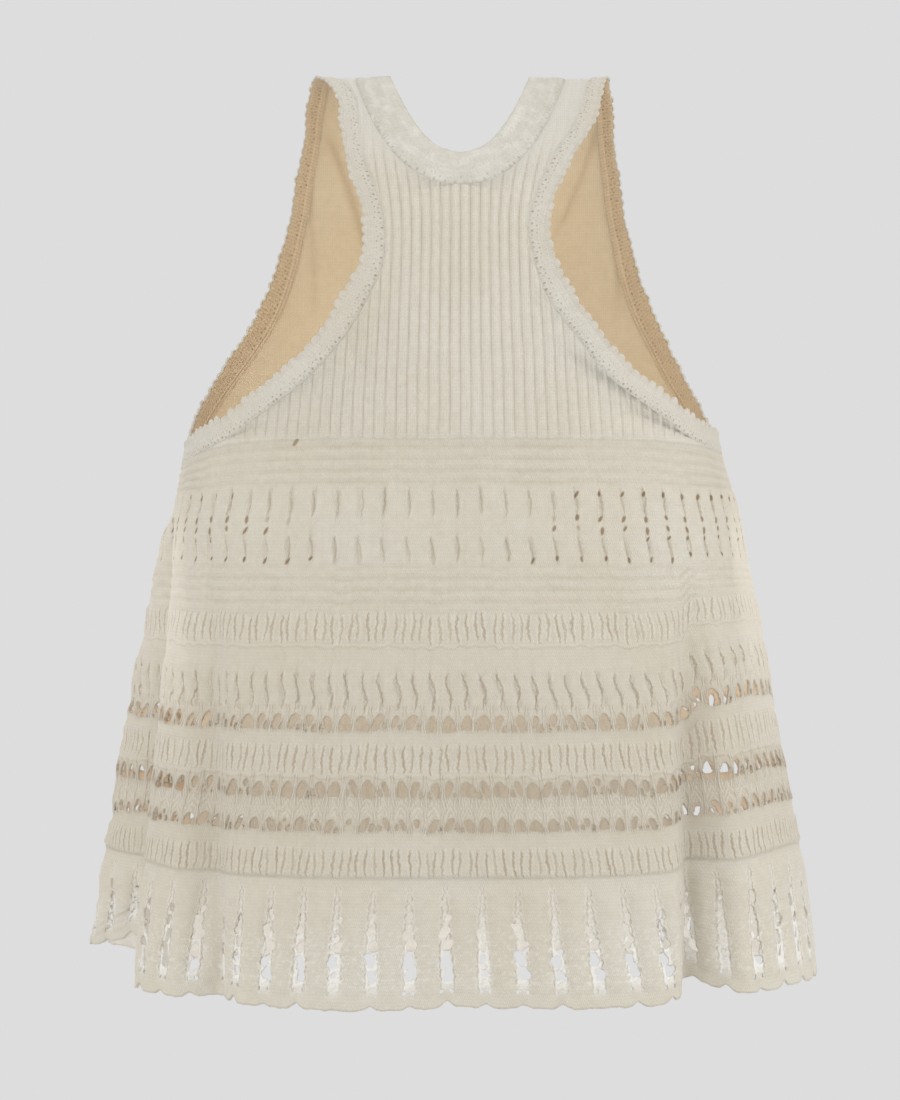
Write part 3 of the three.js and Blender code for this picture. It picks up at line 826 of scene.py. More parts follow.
def eyelet_threads(cloth):
    """Fine strands that run down between two eyelets and spread between two rows of them."""
    shades, pales = [], []
    for k, name in enumerate(EYELET_ROWS):
        top, bottom, count = BODY_BANDS[name]
        low = bottom + (5.5 if name == "eyelets 2" else 1.0)
        high = top - (5.5 if name == "eyelets 3" else 2.0)
        _, beside, (one, _, _) = cloth.motif(count, 90 + k)
        away = cloth.fall - (top + bottom) / 2
        inside = cloth.inside(high, low, 0.8)
        for lean, offset in EYELET_STRANDS:
            line = beside - offset - away * lean - (away * 0.5 + one * 6).sine() * 0.35
            # Each strand is painted paler, as painted highlight, with a line of painted shade on each side.
            pales.append(strand(line, 0.5) * inside)
            shades.append(strand(line.absolute() - 0.75, 0.4) * inside * 0.32)
    # Between the two lower rows the strands spread like ears of wheat.
    top, bottom, count = BODY_BANDS["branches"]
    inside = cloth.inside(top - 1, bottom + 1, 0.8)
    _, beside, (one, two, three) = cloth.motif(count, 120)
    beside = beside.absolute()
    climb = cloth.fall * 0.9 + beside * (one * 1.2 + 1.0) + two * 3.3 + cloth.fray * 3.5
    ear = (climb * (2.0 - three * 0.6)).sine()
    apart = (beside - 0.8).clamped(1.2)
    # The ears of wheat are painted in stripes of painted shade and painted highlight.
    shades.append((0 - ear).positive() ** 2 * inside * apart * 0.22)
    pales.append(ear.positive() * inside * apart * 0.4)
    return most(shades), most(pales)


# The inner face of the body, seen through its holes, is painted with the shade of the inside of the top: a
# dark tan in the middle, a brighter orange tan towards the side seams.
LACE_INNER = (0.49, 0.405, 0.295)
SIDE_INNER = (0.80, 0.56, 0.33)
INNER = {"inner": LACE_INNER, "inner_sides": SIDE_INNER}
MATERIALS["front body"] = wool("front lace wool", CREAM, DEEP, **INNER,
                               threads=lambda tree: body_threads(tree, SLIPPED_STITCH))
MATERIALS["back body"] = wool("back lace wool", CREAM, DEEP, **INNER, threads=body_threads)
print("rows of slits:", {name: values[0] for name, values in SLIT_ROWS.items()})

# %% [markdown]
# ## The relief of the body
#
# What is wider than a thread is real relief. For each crossing of the grid the chart works out
# how high the cloth stands, how much painted shade its hollow holds, and how far it is from the
# outline of the nearest hole. A far lobe at the left hangs ragged, and the bands of the lobe at
# the right are drawn up, so the drop is bent a little before the bands are read.

# %% Relief of the body
def body_rows():
    """The drops of the grid's rows: close together where the lace is fine."""
    drops = []
    for name, (top, bottom, _) in BODY_BANDS.items():
        steps = max(round((bottom - top) / ROW_HEIGHTS[name]), 1)
        drops += list(np.linspace(top, bottom, steps, endpoint=False))
    return np.array(drops + [475.0, 476.0])


def along_half(start, drops, samples=1201):
    """For each row, a function from the share of its length to the angle round the body."""
    angles = np.linspace(start, start + 180, samples)
    tables = []
    for drop in drops:
        points = form_point(angles, level_at(np.full(samples, drop)))
        length = length_along(points)
        tables.append((length / length[-1], length[-1]))
    return angles, tables


def slit(sideways, upright, half_height, width):
    """A narrow upright gap: 1 in its middle and 0 outside, tapering to both ends."""
    taper = np.sqrt(np.clip(1 - (upright / half_height) ** 2, 0, 1))
    return np.clip(1 - (np.abs(sideways) / (width * taper + 1e-6)) ** 2, 0, 1) * (taper > 0)


class Relief:
    """Height in mm, hollow (the painted shade) from 0 to 1 and the signed edge of the holes, for many
    points.
    """

    def __init__(self, size):
        self.height = np.zeros(size)
        self.hollow = np.zeros(size)
        self.hole = np.full(size, 9.0)      # less than 0 inside a hole, in mm
        self.fall = np.zeros(size)          # the drop in the lace pattern

    def groove(self, strength, depth, dark=1.0):
        self.height -= strength * depth * 0.7
        # A groove is also painted darker, as painted shade.
        self.hollow = np.maximum(self.hollow, strength * dark * 0.55)

    def cut(self, signed):
        self.hole = np.minimum(self.hole, signed)


def garter(relief, drop, share, name, ridges, seed):
    """Level ridges that wander a little, as hand-worked rows do."""
    top, bottom, _ = BODY_BANDS[name]
    inside = between(drop, top, bottom, 2.0)
    wander = 0.16 * noise_line(seed)(share * 3) + 0.07 * noise_line(seed + 1)(share * 11)
    phase = (drop - top) / (bottom - top) * ridges + wander
    wave = 0.5 - 0.5 * np.cos(2 * np.pi * phase)
    fade = 0.72 + 0.28 * noise_line(seed + 2)(share * 4)
    relief.height += inside * fade * (0.9 * wave**0.7)
    # Painted shade between the ridges.
    relief.hollow = np.maximum(relief.hollow, inside * fade * 0.26 * (1 - wave) ** 3)


def puffs(relief, drop, share, length, seed):
    """Swollen stitches between two rows of slits."""
    top, bottom, count = BODY_BANDS["puffs"]
    q = share * count
    number = np.floor(q)
    loose = jitter(seed)
    # Rows of slits: where their middles lie, their half height and how far they lean.
    rows = ((top + 10.0, 8.4, 0.008), (top + 37.6, 7.9, -0.006))
    inside = between(drop, top, bottom, 3.0)
    # The cloth swells between two slits and stays level between the two rows of them.
    pulled = sum(bell(drop - middle, tall * 0.62) for middle, tall, _ in rows)
    bulge = np.abs(np.sin(np.pi * (q + 0.03 * loose(number)))) ** 0.55
    swell = 0.8 + 0.2 * np.cos(2 * np.pi * (drop - top - 23.5) / 47)
    relief.height += inside * 1.8 * mix(0.85, bulge, np.clip(pulled * 1.3, 0, 1)) * swell
    edge = np.rint(q)
    for k, (middle, tall, lean) in enumerate(rows):
        away = drop - (middle + 1.2 * jitter(seed + 5 + k)(edge))
        curve = -lean * away + 0.03 * np.sin(away * 0.3) + 0.05 * jitter(seed + 9 + k)(edge)
        wide = (q - edge - curve) * length / count
        size = 1.25 + 0.45 * jitter(seed + 3 + k)(edge)
        strength = slit(wide, away, tall, size + 0.3)
        relief.groove(strength * (0.75 + 0.25 * jitter(seed + 7 + k)(edge)), 1.35, 0.2)
    pinch = bell(drop - (top + 24.2), 2.6) * bell((q - edge) * length / count, 3.0)
    relief.height -= pinch * 0.35


def slit_ribs(relief, drop, share, length, name, seed):
    """A raised band with short upright gaps."""
    top, bottom, count = BODY_BANDS[name]
    q = share * count + 0.22 * noise_line(seed)(share * 7)
    edge = np.rint(q)
    middle, tall = (top + bottom) / 2, (bottom - top) / 2 - 1.6
    away = drop - middle - 0.9 * noise_line(seed + 1)(share * 5)
    lean = 0.018 * jitter(seed + 2)(edge) + 0.012 * noise_line(seed + 5)(share * 6)
    bow = 0.07 * np.sin(away * 0.42 + 2.5 * jitter(seed + 3)(edge))
    wide = (q - edge - lean * away - bow) * length / count
    tall = tall * (0.86 + 0.14 * jitter(seed + 4)(edge))
    strength = slit(wide, away, tall, 1.15 + 0.4 * jitter(seed + 6)(edge))
    inside = between(drop, top, bottom, 2.0)
    relief.height += inside * 0.75
    relief.groove(strength * 0.4, 1.0, 0.1)


def long_slits(relief, drop, share, length, seed):
    """Taller columns between longer slits, above the first row of eyelets."""
    top, bottom, count = BODY_BANDS["long slits"]
    q = share * count + 0.5
    edge = np.rint(q)
    middle, tall = (top + bottom) / 2 + 1.0, 10.4
    away = drop - middle - 0.8 * noise_line(seed)(share * 4)
    sway = (0.013 + 0.006 * jitter(seed + 1)(edge)) * away + 0.08 * np.sin(away * 0.34)
    wide = (q - edge - sway) * length / count
    strength = slit(wide, away, tall, 1.25 + 0.3 * jitter(seed + 2)(edge))
    inside = between(drop, top - 2, bottom, 3.0)
    relief.height += inside * 1.0 * np.abs(np.sin(np.pi * (q - sway))) ** 0.6
    relief.groove(strength * 0.6, 1.6, 0.2)


def eyelets(relief, drop, share, length, name, tall, seed, size=1.0, lower=0.0):
    """A row of clear holes, rounded at the top and flat at the foot, between knots of yarn."""
    top, bottom, count = BODY_BANDS[name]
    lower = lower * smoothstep(np.minimum(share, 1 - share) / 0.16)
    top, bottom = top + lower, bottom + lower
    q = share * count
    number = np.floor(q)
    pitch = length / count
    x = (q - number - 0.5 - 0.05 * jitter(seed)(number)) * pitch
    y = drop - (bottom - 0.4 - tall + 0.5 * jitter(seed + 2)(number))
    tall = tall * (1 + 0.12 * jitter(seed + 1)(number))
    wide = pitch * 0.335 * size * (1 + 0.22 * jitter(seed + 3)(number))
    lean = 0.16 * jitter(seed + 4)(number)
    across = (x - lean * y) / (wide * (1 + 0.26 * np.clip(y / tall, -1, 1)))
    square = np.where(y > 0, 4.5, 2.1)
    radius = (np.abs(across) ** square + np.abs(y / tall) ** square) ** (1 / square)
    signed = (radius - 1) * min(wide.mean(), tall.mean())
    # In some holes a strand of yarn has been drawn across.
    for k, side in enumerate((-1, 1)):
        drawn = np.abs(x - side * (wide * 0.45 - 0.4 * y - 0.8 * jitter(seed + 6)(number))) - 0.5
        signed = np.where(jitter(seed + 7 + k)(number) > 0.15, np.maximum(signed, -drawn), signed)
    relief.cut(signed)
    near = bell(np.maximum(signed, 0), 1.4)
    relief.height += near * 0.45
    # Painted shade just round each hole.
    relief.hollow = np.maximum(relief.hollow, 0.2 * bell(np.maximum(signed, 0), 0.5))


def branches(relief, drop, share, length, seed):
    """Strands that spread like ears of wheat between two rows of eyelets."""
    top, bottom, count = BODY_BANDS["branches"]
    q = share * count
    number = np.floor(q)
    pitch = length / count
    x = (q - number - 0.5) * pitch
    y = drop - top
    inside = between(drop, top, bottom, 1.5)
    fan = np.abs(x) * 1.15 + y * 0.9
    wave = 0.5 + 0.5 * np.cos(2 * np.pi * fan / 3.4)
    relief.groove(inside * (1 - wave) ** 2 * 0.4, 0.6, 0.1)
    stem = bell(np.abs(x) - pitch / 2, 0.8) * between(drop, top - 12, bottom + 8, 2)
    relief.height += stem * 0.8


RIGHT_LOBE = {"drop": (222, 270, 300, 335, 372, 400, 425, 475), "lift": (0, 0, 4.5, 10, 11, 7, 3, 0)}


def drifted(drop, share, lobe):
    """The bands of a soft knit wander up and down a little between two firm lines."""
    hold = smoothstep((drop - 222) / 25) * smoothstep((475 - drop) / 12)
    slow, quick = noise_line(7), noise_line(8)
    moved = drop + hold * (1.3 * slow(share * 2.5 + drop * 0.004) + 0.5 * quick(share * 9))
    beyond = smoothstep((share - lobe) / 0.018) * smoothstep((1 - share) / 0.08)
    return moved + beyond * through(RIGHT_LOBE, "lift")(drop)


BACK_LOWER = {"eyelets 1": -3.0, "eyelets 3": 8.5}      # mm lower than the same row at the front


def left_lobe_lumps(drop, share):
    """The far lobe at the left hangs ragged: its lace is pulled in and out from band to band."""
    here = smoothstep((share - 0.80) / 0.06) * smoothstep((1 - share) / 0.03) * smoothstep((drop - 285) / 30)
    slow, quick = noise_line(131), noise_line(132)
    return here * (1.5 * slow(drop / 190 + share * 0.2) + 0.5 * quick(drop / 70 + share * 3))


def body_relief(drop, share, length, lobe=9.0, lower=None):
    """All the bands of a body panel, one after the other."""
    relief = Relief(drop.shape)
    if lower is not None:
        relief.height += left_lobe_lumps(drop, share)
    drop = drifted(drop, share, lobe)
    relief.fall = drop
    lower = lower or dict.fromkeys(BACK_LOWER, 0.0)
    garter(relief, drop, share, "garter 1", 4.3, 11)
    puffs(relief, drop, share, length, 21)
    garter(relief, drop, share, "garter 2", 4.0, 31)
    slit_ribs(relief, drop, share, length, "slit ribs 1", 41)
    long_slits(relief, drop, share, length, 51)
    eyelets(relief, drop, share, length, "eyelets 1", 4.6, 61, 1.0, lower["eyelets 1"])
    slit_ribs(relief, drop, share, length, "slit ribs 2", 71)
    eyelets(relief, drop, share, length, "eyelets 2", 4.8, 81, 1.05)
    branches(relief, drop, share, length, 91)
    eyelets(relief, drop, share, length, "eyelets 3", 3.8, 101, 1.0, lower["eyelets 3"])
    slit_ribs(relief, drop, share, length, "slit ribs 3", 111)
    # The last row is a thick thread; below it the body tucks into the flounce.
    rope = drop - 472.2 - 0.9 * noise_line(121)(share * 9)
    relief.height += 0.35 * bell(rope, 1.5) - 0.25 * smoothstep((drop - 473.8) / 2)
    relief.height -= 0.5 * smoothstep((223.0 - drop) / 1.2)
    return relief


print(len(body_rows()), "rows in the grid of a body panel")

# %% [markdown]
# ## Panels
#
# The panels are laid out by share of length: a motif keeps its width all round, and the folds
# carry it with them. After the holes are cut, a crossing that has been left on the edge of a
# hole is moved onto the hole's outline by one small step along the slope of the chart.

# %% Panels between two side seams
PANEL_RIM = 1.4         # mm of cloth that shows inside a hole
CREASES = {"front right valley": 0.05, "front left valley": 0.08, "left side tuck": 0.35,
           "back right valley": 0.2, "back left valley": 0.2, "back middle valley": 0.2}


def crease(around, drop):
    """The shade that gathers at the bottom of the deep folds."""
    shade = np.zeros_like(drop)
    for name, strength in CREASES.items():
        _, reach, beside = beside_fold(name, around, drop)
        shade = np.maximum(shade, strength * bell(beside, 1.1 + 0.6 * reach) * smoothstep(reach * 5))
    return shade


def panel(name, start, rows, columns, relief_of, materials, foot=None):
    """Half of the garment between two drops, with its relief and its holes."""
    chart = Chart(columns, len(rows) - 1)
    angles, tables = along_half(start, rows)
    share = chart.column / columns
    drop = rows[chart.row].astype(float)
    length = np.array([table[1] for table in tables])[chart.row]

    relief = relief_of(drop, share, length)
    inside = relief.hole < 0
    touching = np.zeros(len(inside), bool)
    chart.bm.faces.ensure_lookup_table()
    for face in chart.bm.faces:
        index = [v.index for v in face.verts]
        flags = inside[index]
        if flags.any() and not flags.all():
            touching[index] = True
    # One step down the slope for the crossings next to a hole's outline.
    step = 0.15     # mm
    cell_x, cell_y = length / columns, np.gradient(rows)[chart.row]
    slope_x = (relief_of(drop, share + step / length, length).hole - relief.hole) / step
    slope_y = (relief_of(drop + step, share, length).hole - relief.hole) / step
    steep = slope_x**2 + slope_y**2 + 1e-6
    move = touching & inside
    shift_x = np.clip(-relief.hole * slope_x / steep, -0.75 * cell_x, 0.75 * cell_x) * move
    shift_y = np.clip(-relief.hole * slope_y / steep, -0.75 * cell_y, 0.75 * cell_y) * move
    share = np.clip(share + shift_x / length, 0, 1)
    drop = np.clip(drop + shift_y, rows[0], rows[-1])
    relief = relief_of(drop, share, length)

    around = np.empty_like(share)
    for j in range(len(rows)):
        row = chart.row == j
        around[row] = np.interp(share[row], tables[j][0], angles)
    relief.hollow = np.maximum(relief.hollow, crease(around, drop))
    placed = bodice_top(around, drop, rows) if rows[0] < 300 else drop
    if foot is not None:
        lift = foot(share)
        reach = 12 + 2 * np.abs(lift)
        placed = placed - lift * smoothstep((drop - rows[-1] + reach) / reach)
    level = level_at(placed)
    points = form_point(around, level) + outward_normal(around, level) * relief.height[:, None]
    uv = np.stack([share * length / 10, drop / 10], -1)
    marks = {"hollow": relief.hollow, "share": share, "fall": relief.fall, "span": length}
    sheet = new_sheet(name, chart, points, marks, uv, materials, inside, PANEL_RIM)
    print(f"  {name}: {length.min():.0f} mm round at the top, {length.max():.0f} mm at the foot")
    return sheet


def bodice_top(around, drop, rows):
    """Near its top the body follows the dip under the arms."""
    dip = body_top_drop(around) - BODY_TOP["middle"]
    return drop + dip * (1 - smoothstep((drop - rows[0]) / 45))


BODY_COLUMNS = 560
front_body = panel("front_body_lace", -90, body_rows(), BODY_COLUMNS,
                   lambda *place: body_relief(*place, lobe=0.772), [MATERIALS["front body"]])
back_body = panel("back_body_lace", 90, body_rows(), BODY_COLUMNS,
                  lambda *place: body_relief(*place, lower=BACK_LOWER), [MATERIALS["back body"]])

# %% [markdown]
# ## The flounce
#
# The hem is a flounce of wide smooth ribs. Between them run ladders: columns where stitches were
# dropped or drawn apart, so that only zigzag threads and clear holes are left. The ladders open
# towards the foot, where pairs of tiny holes and a scalloped border finish the cloth.

# %% Relief of the flounce
LADDERS = {"front": 30, "back": 26}     # in each half of the garment
LADDER_SHIFT = {"front": 0.55, "back": 0.5}
HOLE_DROPS = (489.5, 497.5, 505.5, 513.5, 521.5, 529.5)
HOLE_SIZES = (0.30, 0.66, 0.95, 1.12, 1.15, 0.98)
HEM_COLUMNS = 700
DRAWN_UP = {
    # towards which side seam, by how many mm, over which share of the half
    "front": (("right", 9.0, 0.075), ("left", 23.0, 0.055)),
    "back": (("right", 9.0, 0.075), ("left", 18.0, 0.115), ("left", 5.0, 0.27)),
}


def hem_rows():
    upper = np.linspace(474.2, 487, 9, endpoint=False)
    lace = np.linspace(487, 534, 46, endpoint=False)
    return np.concatenate([upper, lace, np.linspace(534, HEM_BOTTOM, 12)])


def scallop(share, face):
    """How far the foot of the flounce is cut up between two scallops."""
    q = share * LADDERS[face] - LADDER_SHIFT[face]
    edge = np.rint(q)
    depth = 3.0 + 1.2 * jitter(201)(edge) - 2.4 * (jitter(202)(edge) > 0.4)
    uneven = 0.9 * noise_line(203)(share * 2) + 0.35 * noise_line(204)(share * 23)
    # The cloth is drawn up towards both side seams.
    away_from_seam = {"left": share, "right": 1 - share}
    if face == "back":
        away_from_seam = {"left": 1 - share, "right": share}
    drawn_up = sum(much * smoothstep(1 - away_from_seam[seam] / over) for seam, much, over in DRAWN_UP[face])
    return depth * bell(q - edge, 0.15) + uneven + drawn_up


def ladder_line(share, drop, length, face):
    """The number of the nearest ladder and the distance from its middle, in mm."""
    q = share * LADDERS[face] - LADDER_SHIFT[face]
    edge = np.rint(q)
    sway = 0.9 * noise_line(211)(drop / 74 + edge * 0.37)
    sway = sway + 0.4 * np.sin(drop * 0.9 + 5 * jitter(213)(edge))
    return edge, (q - edge) * length / LADDERS[face] + sway


def hem_relief(drop, share, length, face):
    """Smooth ribs, and ladders between them with a row of holes down each."""
    relief = Relief(drop.shape)
    relief.fall = drop
    edge, x = ladder_line(share, drop, length, face)
    pitch = length / LADDERS[face]
    below = drop - HEM_TOP
    ladder_half = (3.9 + 0.7 * jitter(212)(edge)) * (0.25 + 0.75 * smoothstep(below / 42))
    rib = np.clip((np.abs(x) - ladder_half) / (pitch / 2 - ladder_half), 0, 1)
    grown = smoothstep(below / 14) * smoothstep((HEM_BOTTOM - 4 - drop) / 8)
    relief.height += grown * (1.7 * np.sin(rib * np.pi / 2) ** 0.8 - 0.3)
    relief.height += 0.35 * noise_line(215)(share * 13 + below * 0.006) * smoothstep(below / 10)
    if face == "back":
        relief.height += left_lobe_lumps(drop, share)
    # Holes, larger towards the foot and of uneven size.
    for k, middle in enumerate(HOLE_DROPS + ((537.5,) if face == "back" else ())):
        loose = jitter(220 + k)(edge)
        size = HOLE_SIZES[min(k, 5)] * (0.95 + 0.26 * jitter(229)(edge) + 0.2 * loose)
        wide, tall = 2.7 * np.clip(size, 0.2, 1.15), 4.3 * np.clip(size, 0.25, 1.0)
        dx = x - (0.8 if k % 2 else -0.8) * (1 + 0.8 * loose)
        dy = drop - middle - 1.1 * jitter(230 + k)(edge)
        radius = np.hypot((dx - 0.3 * loose * dy) / wide, dy / tall)
        turn = np.arctan2(dy, dx)
        dents = 0.16 * np.sin(2 * turn + 7 * loose) + 0.12 * np.sin(3 * turn + 11 * jitter(250 + k)(edge))
        signed = (radius * (1 + dents) - 1) * np.minimum(wide, tall)
        relief.cut(np.where(size > 0.4, signed, 9.0))
    # Pairs of small holes above the border.
    for side in (-1, 1) if face == "front" else ():
        dx = x - side * (2.6 + 0.5 * jitter(242)(edge))
        dy = drop - 539.3 - 0.9 * jitter(241)(edge)
        relief.cut((np.hypot(dx / 1.6, dy / 1.4) - 1) * 1.4)
    relief.height += between(drop, 543, 552, 2.0) * 0.5
    # The foot is painted darker, as painted shade along its rolled border.
    relief.hollow = np.maximum(relief.hollow, 0.2 * smoothstep((drop - 548.5) / 3))
    relief.height -= 0.15 * smoothstep((476.5 - drop) / 2)
    return relief


def hem_threads(tree, face):
    """Zigzag threads along both edges of every ladder, with a small gap at each turn: the gaps are painted
    dark, as painted shade, and the threads paler, as painted highlight.
    """
    cloth = Cloth(tree)
    number, beside, (one, two, three) = cloth.motif(LADDERS[face], 5.5, -LADDER_SHIFT[face])
    x = beside + (flat_noise(tree, number * 3.7, cloth.fall * 0.05) - 0.5) * 2.2
    frayed = flat_noise(tree, cloth.share * 260, cloth.fall * 0.4)
    down = cloth.fall - HEM_TOP
    turn = ((down / 5.6 + one).math("FRACT") - 0.5).absolute() * 4 - 1
    fade = ((down - 3) * 0.25).clamped() * ((68 - down) * 0.12).clamped()
    # A ladder starts as one thin line and opens on its way down.
    opened = ((down - 4) * 0.026).clamped(0.86) + 0.14
    lines, threads = [], []
    for side, half in ((-1, (two * 0.8 + 2.6) * opened), (1, (three * 0.8 + 2.6) * opened)):
        away = (x * side - half - turn * 0.5 - (frayed - 0.5) * 2.4).absolute()
        lines.append(strand(away, 0.55))
        threads.append(strand(away - 1.15, 0.7))
    # Threads that cross the ladder from side to side.
    cross = (down + x * 0.5 + one * 5) * (2 * math.pi / 4.0)
    within = (opened * 3.4 - x.absolute()).clamped()
    rung = cross.sine().positive() * within
    uneven = ((frayed - 0.3) * 2.2).clamped()
    dark = most(lines) * (three * 0.35 + 0.5) * uneven * fade
    # Lower down the ladders open: their threads are painted paler, as painted highlight, and the air between
    # them pale, as painted light that shines through.
    airy = ((down - 18) * 0.05).clamped() * (within + cloth.fray * 1.6)
    pale = (most(threads) * 0.35 + rung * 0.25 + airy * 0.75) * fade
    raised = (most(threads) * 0.5 + rung * 0.5) * fade * uneven - dark * 1.2
    return dark, pale.clamped(), raised


def hem_panel(name, start, face):
    # The flounce's inner face and its open ladders are painted near white, as painted light that shines
    # through the lace.
    material = wool(f"{face} flounce wool", HEM_CREAM, DEEP, through=0.3, inner=(0.92, 0.90, 0.86),
                    painted_light_colour=(0.92, 0.915, 0.89), threads=lambda tree: hem_threads(tree, face))
    return panel(name, start, hem_rows(), HEM_COLUMNS, lambda *place: hem_relief(*place, face),
                 [material], foot=lambda share: scallop(share, face))


front_hem = hem_panel("front_hem_lace", -90, "front")
back_hem = hem_panel("back_hem_lace", 90, "back")

# %% [markdown]
# ## Edges of the armholes and of the neck
#
# An armhole is a ring that runs from the side seam up the front, over the shoulder and down the
# back. A table gives how far its free edge is from the middle at each height, on each quarter.
# The band's other edge, the seam, is found by walking a band's width over the form, away from
# the opening.

# %% Edge curves
ARMHOLE = {
    "drop":        (0, 15, 35, 55, 75, 95, 115, 135, 155, 178, 198, 211),
    "front left":  (88, 74, 71, 68, 61, 57, 58, 67, 79, 99, 125, 145),
    "front right": (90, 85, 78, 66, 57, 52, 56, 64, 79, 97, 124, 143),
    "back left":   (88, 94, 97, 101, 105, 110, 116, 124, 135, 149, 159, 164),
    "back right":  (90, 94, 96, 99, 102, 107, 112, 119, 128, 138, 148, 153),
}
ARMHOLE_BOTTOM = {"left": 224.0, "right": 217.0}
BAND_WIDTH = {"strap": 10.0, "underarm": 14.0}
NECK = {"half width": 42.5, "front": 51.0, "back": 88.0, "fullness": 2.2, "trim": 22.0}


def angle_at(distance, drop, side):
    """The angle round the body of a place a given distance from the middle."""
    share = np.minimum(distance / width_at[side](drop), 1)
    wanted, s = share * (1 - SQUARENESS), share
    for _ in range(6):
        value = s * (1 + 3 * SQUARENESS) - 4 * SQUARENESS * s**3
        s = s + (wanted - value) / (1 + 3 * SQUARENESS - 12 * SQUARENESS * s * s)
    return np.degrees(np.arcsin(np.clip(s, -1, 1)))


def armhole_edge(side, count):
    """Places along the free edge, evenly spaced from the side seam round to it again."""
    sign = -1 if side == "left" else 1
    drops = np.array(ARMHOLE["drop"], float)
    quarters = {}
    for quarter, face in (("front", 1), ("back", -1)):
        angles = angle_at(np.array(ARMHOLE[f"{quarter} {side}"], float), drops, side)
        quarters[quarter] = np.stack([sign * angles, face * level_at(drops)], -1)
    bottom = level_at(ARMHOLE_BOTTOM[side])
    over = lambda place: np.array([sign * 180 - place[0], place[1]])
    knots = np.array([over(quarters["front"][-1]), (sign * 90, bottom), *quarters["front"][:0:-1],
                      quarters["front"][0], *quarters["back"][1:], (sign * 90, -bottom),
                      over(quarters["back"][-1])])
    return evenly(smooth_through(knots), count)


def smooth_through(knots, samples=2400):
    """A dense smooth line through knots; the first and last only set the direction."""
    at = np.linspace(0, 1, samples) * (len(knots) - 3)
    i = np.minimum(at.astype(int), len(knots) - 4)
    s = (at - i)[:, None]
    a, b, c, d = knots[i], knots[i + 1], knots[i + 2], knots[i + 3]
    curve = 2 * a - 5 * b + 4 * c - d
    return 0.5 * (2 * b + (c - a) * s + curve * s * s + (3 * b - a - 3 * c + d) * s**3)


def evenly(line, count):
    """The same line with its places spaced evenly over the cloth."""
    length = length_along(form_point(line[:, 0], line[:, 1]))
    wanted = np.linspace(0, length[-1], count)
    return np.stack([np.interp(wanted, length, line[:, k]) for k in (0, 1)], -1)


def neck_edge(count):
    """Places round the neck: the front from left to right, then the back from right to left."""
    turn = np.linspace(0, 2 * np.pi, 2400)
    across = -NECK["half width"] * np.cos(turn)
    front = turn < np.pi
    deepest = np.where(front, NECK["front"], NECK["back"])
    drop = deepest * (1 - np.abs(np.cos(turn)) ** NECK["fullness"])
    left, right = (angle_at(np.abs(across), drop, side) for side in ("left", "right"))
    angle = np.where(across < 0, -left, right)
    return evenly(np.stack([angle, np.where(front, 1, -1) * level_at(drop)], -1), count)


def walk(places, direction, distance, strides=6):
    """Walks over the form from each place, starting in a given direction."""
    around, level = places[:, 0].copy(), places[:, 1].copy()
    distance = np.broadcast_to(distance, around.shape)
    for _ in range(strides):
        across, down = tangents(around, level)
        aa, ad, dd = ((p * q).sum(-1) for p, q in ((across, across), (across, down), (down, down)))
        want_across, want_down = (across * direction).sum(-1), (down * direction).sum(-1)
        scale = distance / strides / (aa * dd - ad * ad)
        around = around + (want_across * dd - want_down * ad) * scale
        level = level + (want_down * aa - want_across * ad) * scale
    return np.stack([around, level], -1)


def away_from(edge, sign, closed):
    """Unit vectors that leave an edge over the cloth, towards the seam."""
    points = form_point(edge[:, 0], edge[:, 1])
    if closed:
        along = np.roll(points, -1, 0) - np.roll(points, 1, 0)
    else:
        along = np.gradient(points, axis=0)
        # At the side seam the ring closes on itself, so its direction there is level.
        along[0, 2] = along[-1, 2] = 0
    along /= np.linalg.norm(along, axis=-1, keepdims=True)
    out = np.cross(outward_normal(edge[:, 0], edge[:, 1]), along)
    return sign * out / np.linalg.norm(out, axis=-1, keepdims=True)


def band_width(level):
    share = smoothstep((drop_at(level) - 40) / 120)
    return mix(BAND_WIDTH["strap"], BAND_WIDTH["underarm"], share)


RING_STEPS = 720
armholes, seams = {}, {}
for side, sign in (("left", -1), ("right", 1)):
    edge = armhole_edge(side, RING_STEPS + 1)
    armholes[side] = edge
    seams[side] = walk(edge, away_from(edge, sign, False), band_width(edge[:, 1]))
neckline = neck_edge(481)[:-1]
neck_seam = walk(neckline, away_from(neckline, -1, True), NECK["trim"])
edges = {**armholes, "neckline": neckline, "neck seam": neck_seam}
lengths = {name: length_along(form_point(*edge.T))[-1] for name, edge in edges.items()}
print("round each edge, in mm:", {name: round(float(length)) for name, length in lengths.items()})

# %% [markdown]
# ## The ribbed yokes
#
# A yoke is one panel with two horns that run up to the shoulders on each side of the neck. Its
# grid has a left horn, a right horn and a chest, and their shared rows are merged. Ribs stand
# upright over the chest and end at the armhole bands. Higher up the outer ribs lean out with
# the armhole, as the knitter decreases towards the waist of the yoke and increases above it.

# %% Yoke grids
RIB_PITCH = 5.75
HORN_END = {1: 80.0, -1: 117.0}     # the drop at which a horn meets the chest
YOKE_THICK = 1.5
INNER_TUCK = 0.12       # how far the wrong side reaches under a band, as a share of its width


def split_at_ridge(line):
    """The part of a line before the shoulder ridge and the part after it, sharing a place."""
    k = int(np.argmax(line[:, 1] < 0))
    t = line[k - 1, 1] / (line[k - 1, 1] - line[k, 1])
    ridge = mix(line[k - 1], line[k], t)[None]
    return np.concatenate([line[:k], ridge]), np.concatenate([ridge, line[k:]])


